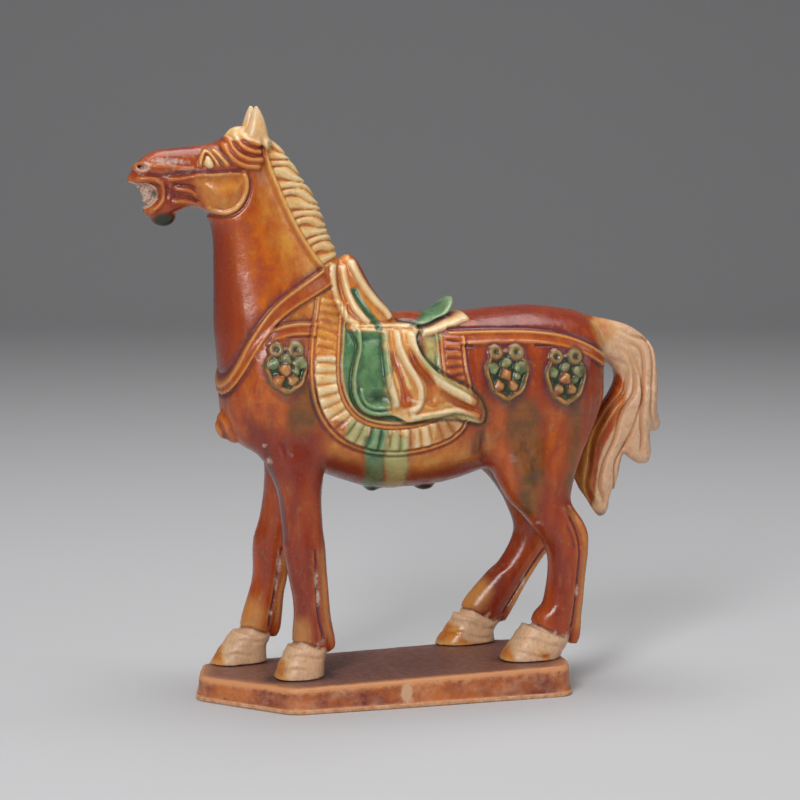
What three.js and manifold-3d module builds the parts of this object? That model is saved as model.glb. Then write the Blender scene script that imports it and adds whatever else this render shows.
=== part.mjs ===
import * as THREE from 'three';
import { mergeVertices } from 'three/addons/utils/BufferGeometryUtils.js';
import Module from 'manifold-3d';

const wasm = await Module();
wasm.setup();

// A glazed pottery tomb horse on its slab, in millimetres, +Z up.
// The horse looks along -X and its left flank faces -Y.
// The origin lies on the slab's underside, below the middle of the horse.

// Driving dimensions
const figureHeight = 219.2;      // ear tips above the middle of the slab's top
const slabHeadThickness = 9.3;
const slabTailThickness = 12.3;
const slabToeMargin = 9.5;       // slab in front of the leading toe
const slabHeelMargin = 1.6;      // slab behind the last heel
const slabNearMargin = 10;       // slab outside the near hooves
const slabFarMargin = 3;         // slab outside the far hooves
const slabFarFall = 3;           // how far the top drops towards its far edge
const slabFallStart = 0.3;       // share of the way to the far edge where it starts to drop
const slabHeadCut = 30;          // length of the cut near corner at the head end
const slabFarHeadCut = 15;       // how far from the head end the far side stops
const slabFarHeadBend = [8.4, 4.8]; // its next corner, from the head end and in from the far side
const slabTailCut = 20;          // length of the cut far corner at the tail end
const slabTailSkew = 4;          // how far the tail end draws in at the near corner
const slabCornerRadius = 5;
const slabEdgeRadius = 1.8;
const lipProud = 1.1;            // bare clay lip standing proud round the slab's foot
const lipHeight = 2.2;
const hoofGap = 0.3;             // hooves to slab

// The tables below draw the figure at this height, standing at this level above the underside.
// Their numbers are its pose, proportions and carving, and grow with figureHeight.
const drawnHeight = 219.2;
const drawnStand = 10.8;
const grow = figureHeight / drawnHeight;
const slabMiddleThickness = (slabHeadThickness + slabTailThickness) / 2;
const standAt = (x, y, z) => new THREE.Vector3(x * grow, y * grow, slabMiddleThickness + (z - drawnStand) * grow);

// Each row of a loft's table: front x, front z, back x, back z, half width, middle y.
const trunkRows = [
  [-58.5, 112.5, -58.5, 130, 5, 0],
  [-57, 105.4, -57, 138, 13, 0],
  [-50, 98.8, -50, 146, 19.5, 0],
  [-40, 94.4, -40, 150, 23.5, 0],
  [-28, 91, -28, 150, 25, 0],
  [-15, 86, -15, 148, 26, 0],
  [0, 81.5, 0, 148, 27, 0],
  [15, 80.8, 15, 149.8, 27.3, 0],
  [30, 82.3, 30, 149.4, 26.8, 0],
  [42, 85.2, 42, 150, 25.5, 0],
  [54, 89, 54, 151, 25.3, 0],
  [66, 92, 66, 151.5, 25.6, 0],
  [78, 95, 78, 150.2, 24.5, 0],
  [87, 100, 87, 148, 21.5, 0],
  [93, 107, 93, 143, 16, 0],
  [96, 115, 96, 133, 8, 0],
];
const neckRows = [
  [-58.5, 112, -4, 138, 20.5, 0],
  [-59.8, 127, -8, 149, 19.5, 0],
  [-60.6, 142, -11.5, 160, 17.5, 0],
  [-60.8, 156, -15.5, 173, 15, 0],
  [-60.8, 168, -20, 184, 13, 0],
  [-61, 178, -25.5, 194, 11.6, 0],
  [-62, 185, -32.5, 203, 10.8, 0],
  [-64.8, 190, -39, 211, 10, 0],
  [-67.5, 195.6, -44, 217, 8.5, 0],
];
const headRows = [
  [-94, 201.6, -94, 203.2, 2, 0],
  [-92, 200.8, -92, 206.2, 4.2, 0],
  [-88.5, 200.2, -88.5, 210.3, 6, 0],
  [-84, 199.6, -84, 212.9, 6.9, 0],
  [-78, 197, -78, 214, 7.8, 0],
  [-70, 193, -70, 214.8, 9, 0],
  [-62, 190, -62, 215.9, 10.6, 0],
  [-55, 189.2, -55, 218.4, 11, 0],
  [-48, 193, -48, 221, 9.5, 0],
  [-42, 200, -42, 218, 6, 0],
];
const jawRows = [
  [-88.2, 190, -87.6, 192.8, 2.4, 0],
  [-86, 188, -85.4, 194.8, 4.4, 0],
  [-80.5, 187.6, -80.5, 197.5, 5.4, 0],
  [-75, 190, -75, 200, 6, 0],
  [-68, 191.8, -68, 201, 7, 0],
  [-60, 189, -60, 202, 8, 0],
];
const mouthRows = [
  [-91, 199.5, -90.4, 202, 2, 0],
  [-87.8, 192.5, -89, 202, 3.4, 0],
  [-83.4, 192, -84.4, 203, 4.2, 0],
  [-76, 194, -77, 204, 5, 0],
];
const crestRows = [
  [-47, 211, -40, 218, 4.4, 0],
  [-43, 204, -33.6, 212.2, 6, 0],
  [-37, 195, -27, 202.6, 7, 0],
  [-32, 185, -20.8, 193, 7.8, 0],
  [-28, 174, -16.6, 181.5, 8.4, 0],
  [-24, 165, -13.2, 173, 8.8, 0],
  [-20, 156, -11, 162, 7, 0],
];
const earRows = [
  [-50.5, 216, -39.5, 214, 3.4, 6],
  [-48.6, 222, -41, 221, 3, 6],
  [-47.2, 226.4, -42.3, 226, 2.1, 5.6],
  [-45.6, 230, -44.4, 230, 0.6, 5.4],
];
const pommelRows = [
  [-22, 140, 14, 145, 17, 0],
  [-17, 152, 8, 151.5, 13.5, 0],
  [-14.5, 160, 1.7, 159.5, 10, 0],
  [-13.4, 166.6, -2.2, 166.6, 7.5, 0],
  [-11.6, 170.6, -4.3, 170.4, 5, 0],
  [-8.8, 172.7, -6.6, 172.5, 2, 0],
];
const cantleRows = [
  [12, 141, 38, 144, 15, 0],
  [21.6, 146.5, 33, 149, 12.5, 0],
  [27, 149.7, 32.4, 151, 10, 0],
  [30.8, 152.8, 33.6, 153.4, 7, 0],
  [33.3, 155.4, 34.4, 155.4, 2.5, 0],
];
const legRows = {
  nearFore: [
    [-45, 112, -24, 110, 8, -6],
    [-46.2, 101, -20, 99, 11.4, -9.8],
    [-43.2, 91, -21.5, 89, 10.2, -12.4],
    [-40, 82, -22.8, 80, 8.9, -14.2],
    [-38.6, 70, -22.6, 69, 8, -15.2],
    [-37.8, 60, -22.1, 60, 7.7, -16],
    [-36, 50, -21.9, 51, 7.1, -16],
    [-34.3, 41, -21.4, 42, 6.7, -16],
    [-34, 34, -20.6, 34, 6.7, -16],
    [-34.5, 27, -19.6, 27, 7, -16],
    [-35, 17, -22, 17, 6.5, -16],
  ],
  farFore: [
    [-45, 112, -24, 110, 8, 6],
    [-44, 101, -19.5, 99, 11.4, 10],
    [-38.4, 91, -19, 88, 10.2, 13.6],
    [-37.6, 80, -22, 79, 8.8, 16],
    [-39.2, 67, -24, 67, 8.1, 17.5],
    [-41.5, 59, -27, 58, 7.7, 18.5],
    [-41.8, 48, -28, 48.5, 7.1, 19],
    [-42.5, 41, -29.8, 42, 6.7, 19],
    [-44.3, 35, -31, 36.5, 6.7, 19],
    [-46.8, 27, -31.8, 29, 6.9, 19],
    [-48, 18, -36, 18, 6.5, 19],
  ],
  nearHind: [
    [60, 124, 86, 126, 8, -5],
    [51, 115, 92, 118, 12.6, -9],
    [46.4, 106, 91.6, 109, 13.6, -10],
    [45, 97, 88.5, 101, 13, -11.8],
    [47.5, 86, 82.5, 89, 11.2, -15],
    [53.5, 75.5, 79, 77, 9.2, -16.5],
    [60, 68.5, 80.3, 69.5, 8.2, -17.5],
    [68.5, 56.4, 85.2, 56, 7.5, -18],
    [69.7, 46, 84.2, 46.5, 7, -18],
    [67.8, 34.5, 82.9, 35, 6.9, -18],
    [63.3, 28.5, 82.4, 28, 7.2, -18],
    [62, 18, 76, 16, 6.8, -18],
  ],
  farHind: [
    [60, 124, 86, 126, 8, 5],
    [51, 115, 92, 118, 12.6, 9],
    [47.4, 106, 91.6, 109, 13.6, 10],
    [46, 97, 90, 101, 13, 12],
    [51, 86, 88, 88, 11.2, 16],
    [58, 79, 87, 80, 9.4, 18],
    [65, 68.5, 91, 70, 8.2, 20],
    [68.7, 57, 91.8, 58.5, 7.5, 20.6],
    [63.3, 45, 80.5, 46, 7.1, 21],
    [56.6, 38.9, 75.5, 39, 6.9, 21],
    [46.6, 27.6, 67.5, 26, 7, 21],
    [46, 18, 60, 17, 6.5, 21],
  ],
};
const hoofRows = {
  nearFore: [
    [-36.3, 23, -22.5, 19.5, 7.2, -16],
    [-39.4, 16.5, -22.4, 15, 8, -16],
    [-42.2, 9, -22.5, 9.5, 8.8, -16],
    [-42.6, 4, -22.5, 4, 8.8, -16],
  ],
  farFore: [
    [-50, 22.5, -36.5, 19.5, 7.2, 19],
    [-55.6, 15.5, -37, 14.5, 8, 19],
    [-60.3, 7.5, -36.5, 8, 8.8, 19],
    [-60.6, 3, -36.5, 3, 8.8, 19],
  ],
  nearHind: [
    [59.5, 26, 77, 18.5, 7.8, -18],
    [54, 19, 75.2, 15, 8.6, -18],
    [50, 13, 74, 11.5, 9, -18],
    [50, 5, 74, 5, 9, -18],
  ],
  farHind: [
    [43.5, 24, 59.5, 18.5, 7.6, 21],
    [39.5, 17.5, 59.5, 15, 8.4, 21],
    [35.7, 12, 60, 11.5, 9, 21],
    [35.5, 4, 60, 4, 9, 21],
  ],
};
// The cords behind the cannons, each ending in a spur over the hoof.
const tendonRows = {
  nearFore: [
    [-25.4, 64, -21.8, 64, 3.6, -16],
    [-26.2, 50, -21.2, 50, 4.8, -16],
    [-25.4, 35, -20, 35, 4.8, -16],
    [-23.4, 23, -18, 23, 4.6, -16],
    [-22, 19.6, -20, 19.6, 2.5, -16],
  ],
  farFore: [
    [-32, 58, -26.6, 58, 3.6, 19],
    [-33.6, 44, -28.2, 44, 4.8, 19],
    [-35.3, 35, -29.8, 36, 4.8, 19],
    [-36.8, 23.5, -30.8, 24, 4.6, 19],
    [-35, 19.4, -32.5, 19.6, 2.4, 19],
  ],
  nearHind: [
    [73, 73, 78.6, 74, 4, -18],
    [79.6, 61, 85.4, 62, 5, -18],
    [80.6, 48, 84.7, 48.5, 5, -18],
    [79, 32, 83.2, 32, 5, -18],
    [77.4, 22, 82.6, 21.5, 4.8, -18],
    [77.5, 17.6, 81.6, 17, 3, -18],
  ],
  farHind: [
    [86, 68, 91.6, 70, 4.4, 20.5],
    [87, 58, 92.6, 60, 5, 20.6],
    [76, 44, 81, 46.6, 5, 21],
    [67.7, 32, 72.7, 34, 5, 21],
    [61.6, 22.5, 67, 24, 4.8, 21],
    [60.5, 19.5, 65, 20, 3, 21],
  ],
};
const tailRows = {
  root: [
    [86, 132, 84, 148, 5, 0],
    [96, 129, 99, 145.2, 6, 0],
    [101.6, 126.6, 110.4, 141.6, 7, 0],
    [103.8, 123, 119.2, 134.4, 7.5, 0],
    [104.4, 118, 121.8, 124, 8, 0],
    [103, 110, 122, 113, 8, 0],
  ],
  outer: [
    [110, 122, 121.6, 122, 6.5, 1],
    [113, 110, 122, 110, 5.5, 1],
    [116, 103, 124, 103, 4, 1],
    [118, 99.4, 124.3, 100.5, 2.6, 1],
    [120, 98.6, 123, 98.6, 1, 1],
  ],
  middle: [
    [104, 116, 121, 117, 7.5, -1],
    [104, 106, 121, 106, 7, -1],
    [106, 97, 119, 98, 5.5, -1],
    [108.5, 90, 119.6, 91, 4.5, -1],
    [112, 87, 119, 87, 3, -1],
    [114.5, 85.6, 117.5, 85.6, 1, -1],
  ],
  inner: [
    [102, 117, 116, 118, 7, 0],
    [97, 108, 113, 107, 6.5, 0],
    [91, 97, 109.5, 96, 6, 0],
    [86.5, 86, 107, 87, 5.5, 0],
    [88.5, 78, 104.9, 78, 5, 0],
    [92.5, 72, 102.8, 72, 4, 0],
    [95.8, 67, 100.8, 66.5, 2.5, 0],
    [97.6, 65, 98.8, 64.8, 0.8, 0],
  ],
};

// Knobs: middle x, y, z and the half sizes along them.
const knobs = {
  forelockTuft: [-50.6, 0, 217, 6, 5.2, 5.4],
  chestBoss: [-56.4, -0.5, 107.4, 5, 5.8, 6.4],
  chinDrip: [-81.2, 0, 189.6, 4.2, 3.4, 2.6],
  bellyDripFront: [1.6, -2, 82.2, 3.2, 4, 1.9],
  bellyDripBack: [22.6, -2, 82, 4, 4.4, 2.4],
};

// Reliefs are drawn on the flank as [x, z] points and lie on both flanks, plainer on the far one.
// half is a ribbon's half width, height how far it stands proud, steps its number of bends.
const straps = [
  { half: 3.1, height: 1.2, steps: 7, path: [[-16, 166.6], [-22, 162.6], [-30, 159], [-37.5, 154], [-43.5, 148.5],
    [-48, 142.5], [-51.4, 136], [-53.6, 129], [-54.6, 122]] },
  { half: 2.3, height: 1, steps: 3, path: [[-22, 144.6], [-33.5, 145.5], [-39.6, 144.8], [-44.5, 143.2]] },
  { half: 2.9, height: 1.2, steps: 7, path: [[31.5, 140.4], [47.4, 140.7], [62, 140.5], [73.5, 138.6], [82.4, 135.4],
    [90.5, 131.2], [94, 128.6]] },
  { half: 1.6, height: 1.3, steps: 4, path: [[34.6, 148], [35.4, 141], [34.6, 132], [34.2, 121]] },
];
const fringe = { half: 4.2, height: 1.5, pleats: 16, plainSteps: 12, path: [[-19, 146.5], [-21.4, 139.7],
  [-23, 132.5], [-23, 123.6], [-20.8, 115.6], [-16.4, 109.4], [-11, 105.6], [-4.6, 103.4], [3.4, 102.5], [11.4, 103],
  [19.5, 104.8], [26.5, 107.8], [32, 111.4]] };
// The saddle cloth hangs in folds from the seat and sweeps back to a flying corner.
// Its folds are heights from its front edge to its rear one.
const cloth = {
  front: [[-14, 147.6], [-16.6, 138], [-17.9, 128], [-16.4, 119], [-12, 113.6], [-6, 111.6]],
  rear: [[13.6, 147.6], [13.8, 138], [17.4, 129.6], [27, 123.6], [37.6, 118.4], [40.4, 110]],
  hang: 5.4,
  steps: 6,
  swellAtSeat: 0.75,
  swellAtHem: 1.1,
  folds: [1.2, 2.3, 1.1, 1.3, 2.8, 1.2, 3, 1.4, 3.2, 2],
};
const ridges = {
  pommelFront: { half: 1.7, height: 1.2, steps: 3, path: [[-15, 164], [-14.2, 157], [-11.6, 150.4], [-8.6, 146]] },
  nose: { half: 1, height: 1, steps: 4, path: [[-90, 206.8], [-82.8, 206.6], [-75, 206.2], [-67, 206.4]] },
  lips: { half: 1.1, height: 1.1, steps: 5, path: [[-90.4, 201.6], [-86, 201.9], [-82.2, 200.8], [-80.8, 197.5],
    [-81.8, 193.6], [-84.8, 191], [-87, 190.6]] },
  jawLine: { half: 0.9, height: 0.9, steps: 3, path: [[-79.6, 199.4], [-74.8, 200], [-71, 199.2], [-68.4, 197]] },
  brow: { half: 0.8, height: 1.1, steps: 4, path: [[-68.2, 207.8], [-67, 211.4], [-64.4, 213.2], [-62, 210.6],
    [-60.2, 207.6]] },
  forelockLow: { half: 1.3, height: 1.5, steps: 4, path: [[-57.6, 217.6], [-57.2, 214.2], [-54.6, 210.6], [-51, 208],
    [-45.8, 206.4]] },
  forelockMiddle: { half: 1.3, height: 1.5, steps: 4, path: [[-55, 219.4], [-53.6, 215.6], [-50.2, 212.2],
    [-46.4, 210.6], [-41.6, 209.8]] },
  forelockHigh: { half: 1.1, height: 1.3, steps: 3, path: [[-51.6, 219.4], [-49, 215.6], [-45.6, 213.4],
    [-41.6, 212.6]] },
  maneEdge: { half: 1.2, height: 1.1, steps: 6, path: [[-41.4, 210.4], [-39.7, 203.6], [-37.4, 197.4], [-33.4, 189.6],
    [-29.4, 182.6], [-25.4, 176.4], [-20.4, 169.6]] },
  tailStrand: { half: 1.8, height: 1, steps: 5, path: [[99, 138], [107, 131], [110.6, 120], [109, 108], [103.4, 94],
    [99, 80], [98.4, 72]] },
};
const farRidges = ['lips', 'forelockLow', 'maneEdge'];
const farSteps = 0.6;            // share of a relief's steps that the plainer far flank gets
const cheek = { half: 9.6, top: 7.6, drop: 8, middle: [-59.2, 197] };
const cheekPlate = 1.3;          // height of the cheek plate over the skin
const cheekRim = 0.3;            // and of its rim
const eye = { at: [-64.9, 209.7], size: [2.6, 2, 1.7] };
const nostril = { at: [-88.4, 208], size: [1.9, 1.5, 1.2] };
const medallions = [
  { middle: [-38, 130.6], half: 8, top: 8.2, drop: 9.6 },
  { middle: [49.6, 126], half: 9, top: 9, drop: 10.8 },
  { middle: [74.2, 124], half: 8.8, top: 9, drop: 10.7 },
];
const medallionEdge = 1.4;       // height of a medallion's edge over the skin
const medallionDish = 0.5;       // height of the sunk ground inside the edge
const medallionBoss = 1.3;
const edgeFrom = 0.9;            // share of the way out where a medallion's or the cheek's edge starts
const bossTo = 0.5;              // and where a medallion's boss ends
const shieldTop = 2.6;           // how square the tops of the shields are
const shieldPoint = 1.4;         // and their pointed feet
// Beads and loops: shares of the half width and of the height from the middle, and a radius.
const medallionStuds = [[-0.48, 0.86, 2.8], [0.48, 0.86, 2.8], [-0.6, 0.16, 2], [0.6, 0.16, 2], [-0.36, -0.44, 2],
  [0.36, -0.44, 2]];
const maneLocks = 12;
const lockNotch = 0.82;          // share of the mane's reach left at the notch between two locks
const lockTip = 1.06;
const rooted = 2.4;              // how far every relief is rooted below the skin

// Solids

const weld = 1e-4;               // vertices closer than this are one

// A closed geometry as a solid, turned right side out if its map mirrored it.
function solidOf(geometry) {
  const bare = geometry.clone();
  bare.deleteAttribute('normal');
  bare.deleteAttribute('uv');
  const merged = mergeVertices(bare, weld);
  const points = merged.attributes.position.array;
  const corner = (index) => new THREE.Vector3().fromArray(points, index * 3);
  const triangles = [];
  let volume = 0;
  for (let i = 0; i < merged.index.count; i += 3) {
    const [a, b, c] = [0, 1, 2].map((k) => merged.index.getX(i + k));
    if (a === b || b === c || c === a) continue;
    triangles.push([a, b, c]);
    volume += corner(a).dot(corner(b).cross(corner(c)));
  }
  const order = triangles.map(([a, b, c]) => (volume > 0 ? [a, b, c] : [a, c, b])).flat();
  const mesh = new wasm.Mesh({
    numProp: 3,
    vertProperties: Float32Array.from(points),
    triVerts: Uint32Array.from(order),
  });
  return new wasm.Manifold(mesh);
}

function geometryOf(solid) {
  const { vertProperties, triVerts, numProp } = solid.getMesh();
  const geometry = new THREE.BufferGeometry();
  const positions = new Float32Array((vertProperties.length / numProp) * 3);
  for (let i = 0; i < positions.length / 3; i++) {
    positions.set(vertProperties.subarray(i * numProp, i * numProp + 3), i * 3);
  }
  geometry.setAttribute('position', new THREE.BufferAttribute(positions, 3));
  geometry.setIndex(new THREE.BufferAttribute(Uint32Array.from(triVerts), 1));
  geometry.computeVertexNormals();
  return geometry;
}

// Moves every vertex of a geometry to place(vertex).
function carry(geometry, place) {
  const position = geometry.attributes.position;
  const vertex = new THREE.Vector3();
  for (let i = 0; i < position.count; i++) {
    const target = place(vertex.fromBufferAttribute(position, i));
    position.setXYZ(i, target.x, target.y, target.z);
  }
  return geometry;
}

const joined = (solids) => solids.reduce((whole, part) => whole.add(part));
const rounded = (value, squareness) => Math.sign(value) * Math.abs(value) ** (2 / squareness);
const curveThrough = (points, closed = false) => new THREE.CatmullRomCurve3(points, closed, 'catmullrom', 0.5);

// A loft through rows that give each ring's front point, back point, half width and middle y.
// belly says where between front and back the ring is widest, squareness how boxy it is.
// reach(level) is the share of its size that the ring keeps.
function loft(rows, { sides, steps, belly = 0.5, squareness = 2.2, reach = () => 1 }) {
  const fronts = curveThrough(rows.map(([x, z, , , half]) => new THREE.Vector3(x, half, z)));
  const backs = curveThrough(rows.map(([, , x, z, , middle]) => new THREE.Vector3(x, middle, z)));
  const place = (vertex) => {
    const level = vertex.y + 0.5;
    const front = fronts.getPoint(level);
    const back = backs.getPoint(level);
    const radius = Math.hypot(vertex.x, vertex.z);
    const angle = Math.atan2(vertex.x, vertex.z);
    const along = rounded(Math.cos(angle), squareness) * radius;
    const share = (belly + along * (along > 0 ? 1 - belly : belly)) * reach(level);
    const side = rounded(Math.sin(angle), squareness) * radius * front.y * reach(level);
    const x = THREE.MathUtils.lerp(front.x, back.x, share);
    const z = THREE.MathUtils.lerp(front.z, back.z, share);
    return standAt(x, back.y + side, z);
  };
  return solidOf(carry(new THREE.CylinderGeometry(1, 1, 1, sides, steps), place));
}

function knob([x, y, z, halfX, halfY, halfZ]) {
  const place = (v) => standAt(x + v.x * halfX, y + v.y * halfY, z + v.z * halfZ);
  return solidOf(carry(new THREE.SphereGeometry(1, 7, 4), place));
}

// The figure's own forms

const mirroredRows = (rows) => rows.map(([a, b, c, d, half, middle]) => [a, b, c, d, half, -middle]);

// Each lock of the mane swells from a notch to its tip.
const lockSteps = 2;
const lockReach = (level) => {
  const phase = (Math.round(level * maneLocks * lockSteps) % lockSteps) / (lockSteps - 1);
  return THREE.MathUtils.lerp(lockNotch, lockTip, Math.sqrt(phase));
};

function bareFigure() {
  const legs = Object.values(legRows);
  const hooves = Object.values(hoofRows);
  const tails = Object.values(tailRows);
  return joined([
    loft(trunkRows, { sides: 14, steps: 13, belly: 0.48, squareness: 2.3 }),
    loft(neckRows, { sides: 12, steps: 8, belly: 0.42, squareness: 2.3 }),
    loft(headRows, { sides: 12, steps: 10, squareness: 2.3 }),
    loft(jawRows, { sides: 8, steps: 5 }),
    loft(mouthRows, { sides: 7, steps: 2 }),
    loft(pommelRows, { sides: 10, steps: 6 }),
    loft(cantleRows, { sides: 8, steps: 4 }),
    loft(earRows, { sides: 6, steps: 3 }),
    loft(mirroredRows(earRows), { sides: 6, steps: 3 }),
    ...legs.map((rows) => loft(rows, { sides: 8, steps: rows.length - 1 })),
    ...hooves.map((rows) => loft(rows, { sides: 8, steps: rows.length - 1, squareness: 2.4 })),
    ...tails.map((rows) => loft(rows, { sides: 6, steps: rows.length - 1 })),
  ]);
}

// Reliefs on the bare figure's skin

const body = bareFigure();
const skin = new THREE.Mesh(geometryOf(body), new THREE.MeshBasicMaterial({ side: THREE.DoubleSide }));
const caster = new THREE.Raycaster();
const outside = 200 * grow;      // beyond the figure on either side
const steepest = 1.5;            // slopes past this count as this
const near = -1;
const far = 1;

// Distance of the skin from the middle plane at a flank point; 0 off the figure's edge.
function depthAt(x, z, flank) {
  const start = standAt(x, 0, z).setY(flank * outside);
  caster.set(start, new THREE.Vector3(0, -flank, 0));
  const [hit] = caster.intersectObject(skin);
  return hit ? Math.max(0, hit.point.y * flank) : 0;
}

// The skin's point at a flank point, and the way out of it.
function skinAt([x, z], flank) {
  const reach = 1.2;
  const slope = (dx, dz) => {
    const rise = depthAt(x + dx, z + dz, flank) - depthAt(x - dx, z - dz, flank);
    return THREE.MathUtils.clamp(rise / (2 * reach * grow), -steepest, steepest);
  };
  const out = new THREE.Vector3(-slope(reach, 0), flank, -slope(0, reach)).normalize();
  const spot = standAt(x, 0, z).setY(flank * depthAt(x, z, flank));
  return { spot, out };
}

// A point at a height over the skin; a negative height lies below it.
const over = ({ spot, out }, height) => spot.clone().addScaledVector(out, height * grow);

const onPlane = ([x, z]) => new THREE.Vector3(x, 0, z);

// A solid through rings of points, closed at both ends.
function through(rings) {
  const sides = rings[0].length;
  const steps = rings.length - 1;
  const middleOf = (ring) => ring.reduce((sum, p) => sum.add(p), new THREE.Vector3()).divideScalar(sides);
  const place = (vertex) => {
    const ring = rings[Math.round((vertex.y + 0.5) * steps)];
    if (Math.hypot(vertex.x, vertex.z) < 0.5) return middleOf(ring);
    const turn = (Math.atan2(vertex.x, vertex.z) / (2 * Math.PI)) * sides;
    return ring[(Math.round(turn) + sides) % sides];
  };
  return solidOf(carry(new THREE.CylinderGeometry(1, 1, 1, sides, steps), place));
}

// A ribbon along a path. section lists [share of half width, share of height, rooted] round it.
function ribbon({ path, half, height, steps }, section, flank, swell = () => 1) {
  const line = curveThrough(path.map(onPlane));
  const rings = Array.from({ length: steps + 1 }, (_, i) => {
    const at = line.getPointAt(i / steps);
    const place = skinAt([at.x, at.z], flank);
    const way = line.getTangentAt(i / steps).projectOnPlane(place.out).normalize();
    const across = new THREE.Vector3().crossVectors(place.out, way);
    return section.map(([share, rise]) =>
      over(place, rise < 0 ? -rooted : rise * height * swell(i)).addScaledVector(across, share * half * grow));
  });
  return through(rings);
}

// Sections: a strap with two raised edges, a flat strap, and a round fold.
const edgedSection = [[-1, -1], [-1, 1], [0, 0.35], [1, 1], [1, -1]];
const flatSection = [[-1, -1], [-0.9, 1], [0.9, 1], [1, -1]];
const foldSection = [[-1, -1], [0, 1], [1, -1]];

// A patch round a middle on the skin, with its height given by crown(share of the way out, side).
function patch({ middle, half, top, drop, point = 2 }, flank, { sides, rings, crown }) {
  const outline = (angle) => {
    const side = Math.abs(Math.cos(angle));
    const rise = Math.sin(angle) > 0 ? top * (1 - side ** shieldTop) : -drop * (1 - side ** point);
    return [half * Math.cos(angle), rise];
  };
  const place = (vertex) => {
    const polar = Math.acos(THREE.MathUtils.clamp(vertex.y, -1, 1)) / (Math.PI / 2);
    const share = Math.min(polar, 2 - polar);
    const angle = Math.atan2(vertex.z, vertex.x);
    const side = (Math.round((angle / (2 * Math.PI)) * sides) + sides) % sides;
    const [across, up] = outline(angle);
    const place = skinAt([middle[0] + across * share, middle[1] + up * share], flank);
    return over(place, polar < 1.001 ? crown(share, side) : -rooted);
  };
  return solidOf(carry(new THREE.SphereGeometry(1, sides, rings * 2), place));
}

// A shield with a raised edge and a middle boss, and on the near flank beads and loops on it.
function medallion(shield, flank) {
  const { middle: [x, z], half, top, drop } = shield;
  const inner = (share) => (share > bossTo ? medallionDish : medallionBoss);
  const crown = (share) => (share > edgeFrom ? medallionEdge : inner(share));
  const fineness = flank === near ? { sides: 10, rings: 3 } : { sides: 8, rings: 2 };
  const plate = patch({ ...shield, point: shieldPoint }, flank, { ...fineness, crown });
  const on = ([across, up, size]) => {
    const at = [x + across * half, z + up * (up > 0 ? top : drop)];
    return stud({ at, size: [size, size, medallionBoss + medallionDish] }, flank, 5, 3);
  };
  return flank === near ? [plate, ...medallionStuds.map(on)] : [plate];
}

function hangingCloth(flank) {
  const front = curveThrough(cloth.front.map(onPlane));
  const rear = curveThrough(cloth.rear.map(onPlane));
  const last = cloth.folds.length - 1;
  const steps = flank === near ? cloth.steps : Math.ceil(cloth.steps * farSteps);
  const rings = Array.from({ length: steps + 1 }, (_, i) => {
    const level = i / steps;
    const from = front.getPoint(level);
    const to = rear.getPoint(level);
    const at = (share) => {
      const sag = cloth.hang * level ** 3 * Math.sin(Math.PI * share);
      return [THREE.MathUtils.lerp(from.x, to.x, share), THREE.MathUtils.lerp(from.z, to.z, share) - sag];
    };
    const swell = THREE.MathUtils.lerp(cloth.swellAtSeat, cloth.swellAtHem, level);
    const top = cloth.folds.map((height, k) => over(skinAt(at(k / last), flank), height * swell));
    return [over(skinAt(at(0), flank), -rooted), ...top, over(skinAt(at(1), flank), -rooted)];
  });
  return through(rings);
}

// A low oval stud on the skin.
function stud({ at: [x, z], size: [wide, tall, proud] }, flank, sides = 6, rings = 4) {
  const place = skinAt([x, z], flank);
  const aside = (v) => new THREE.Vector3(v.x * wide, 0, v.z * tall).multiplyScalar(grow);
  const put = (v) => over(place, v.y * proud).add(aside(v));
  return solidOf(carry(new THREE.SphereGeometry(1, sides, rings), put));
}

function flankReliefs(flank) {
  const plain = flank === far;
  const coarser = (item) => ({ ...item, steps: plain ? Math.ceil(item.steps * farSteps) : item.steps });
  const ridgeNames = plain ? farRidges : Object.keys(ridges);
  const pleat = (i) => (i % 2 ? 0.5 : 1);
  const cheekCrown = (share) => (share < edgeFrom ? cheekPlate : cheekRim);
  return [
    ...(plain ? straps.slice(0, 3) : straps).map((strap) =>
      ribbon(coarser(strap), plain ? flatSection : edgedSection, flank)),
    ribbon({ ...fringe, steps: plain ? fringe.plainSteps : fringe.pleats * 2 }, flatSection, flank, pleat),
    hangingCloth(flank),
    ...ridgeNames.map((name) => ribbon(coarser(ridges[name]), foldSection, flank)),
    patch(cheek, flank, { sides: plain ? 8 : 10, rings: 2, crown: cheekCrown }),
    stud(eye, flank),
    stud(nostril, flank),
    ...medallions.flatMap((shield) => medallion(shield, flank)),
  ];
}

// The slab

const hoofTable = Object.values(hoofRows).flat();
const toe = Math.min(...hoofTable.map((row) => row[0])) * grow;
const heel = Math.max(...Object.values(hoofRows).map((rows) => rows.at(-1)[2])) * grow;
const nearSide = Math.min(...hoofTable.map((row) => row[5] - row[4])) * grow;
const farSide = Math.max(...hoofTable.map((row) => row[5] + row[4])) * grow;
const slabHead = toe - slabToeMargin;
const slabTail = heel + slabHeelMargin;
const slabNear = nearSide - slabNearMargin;
const slabFar = farSide + slabFarMargin;

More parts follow.
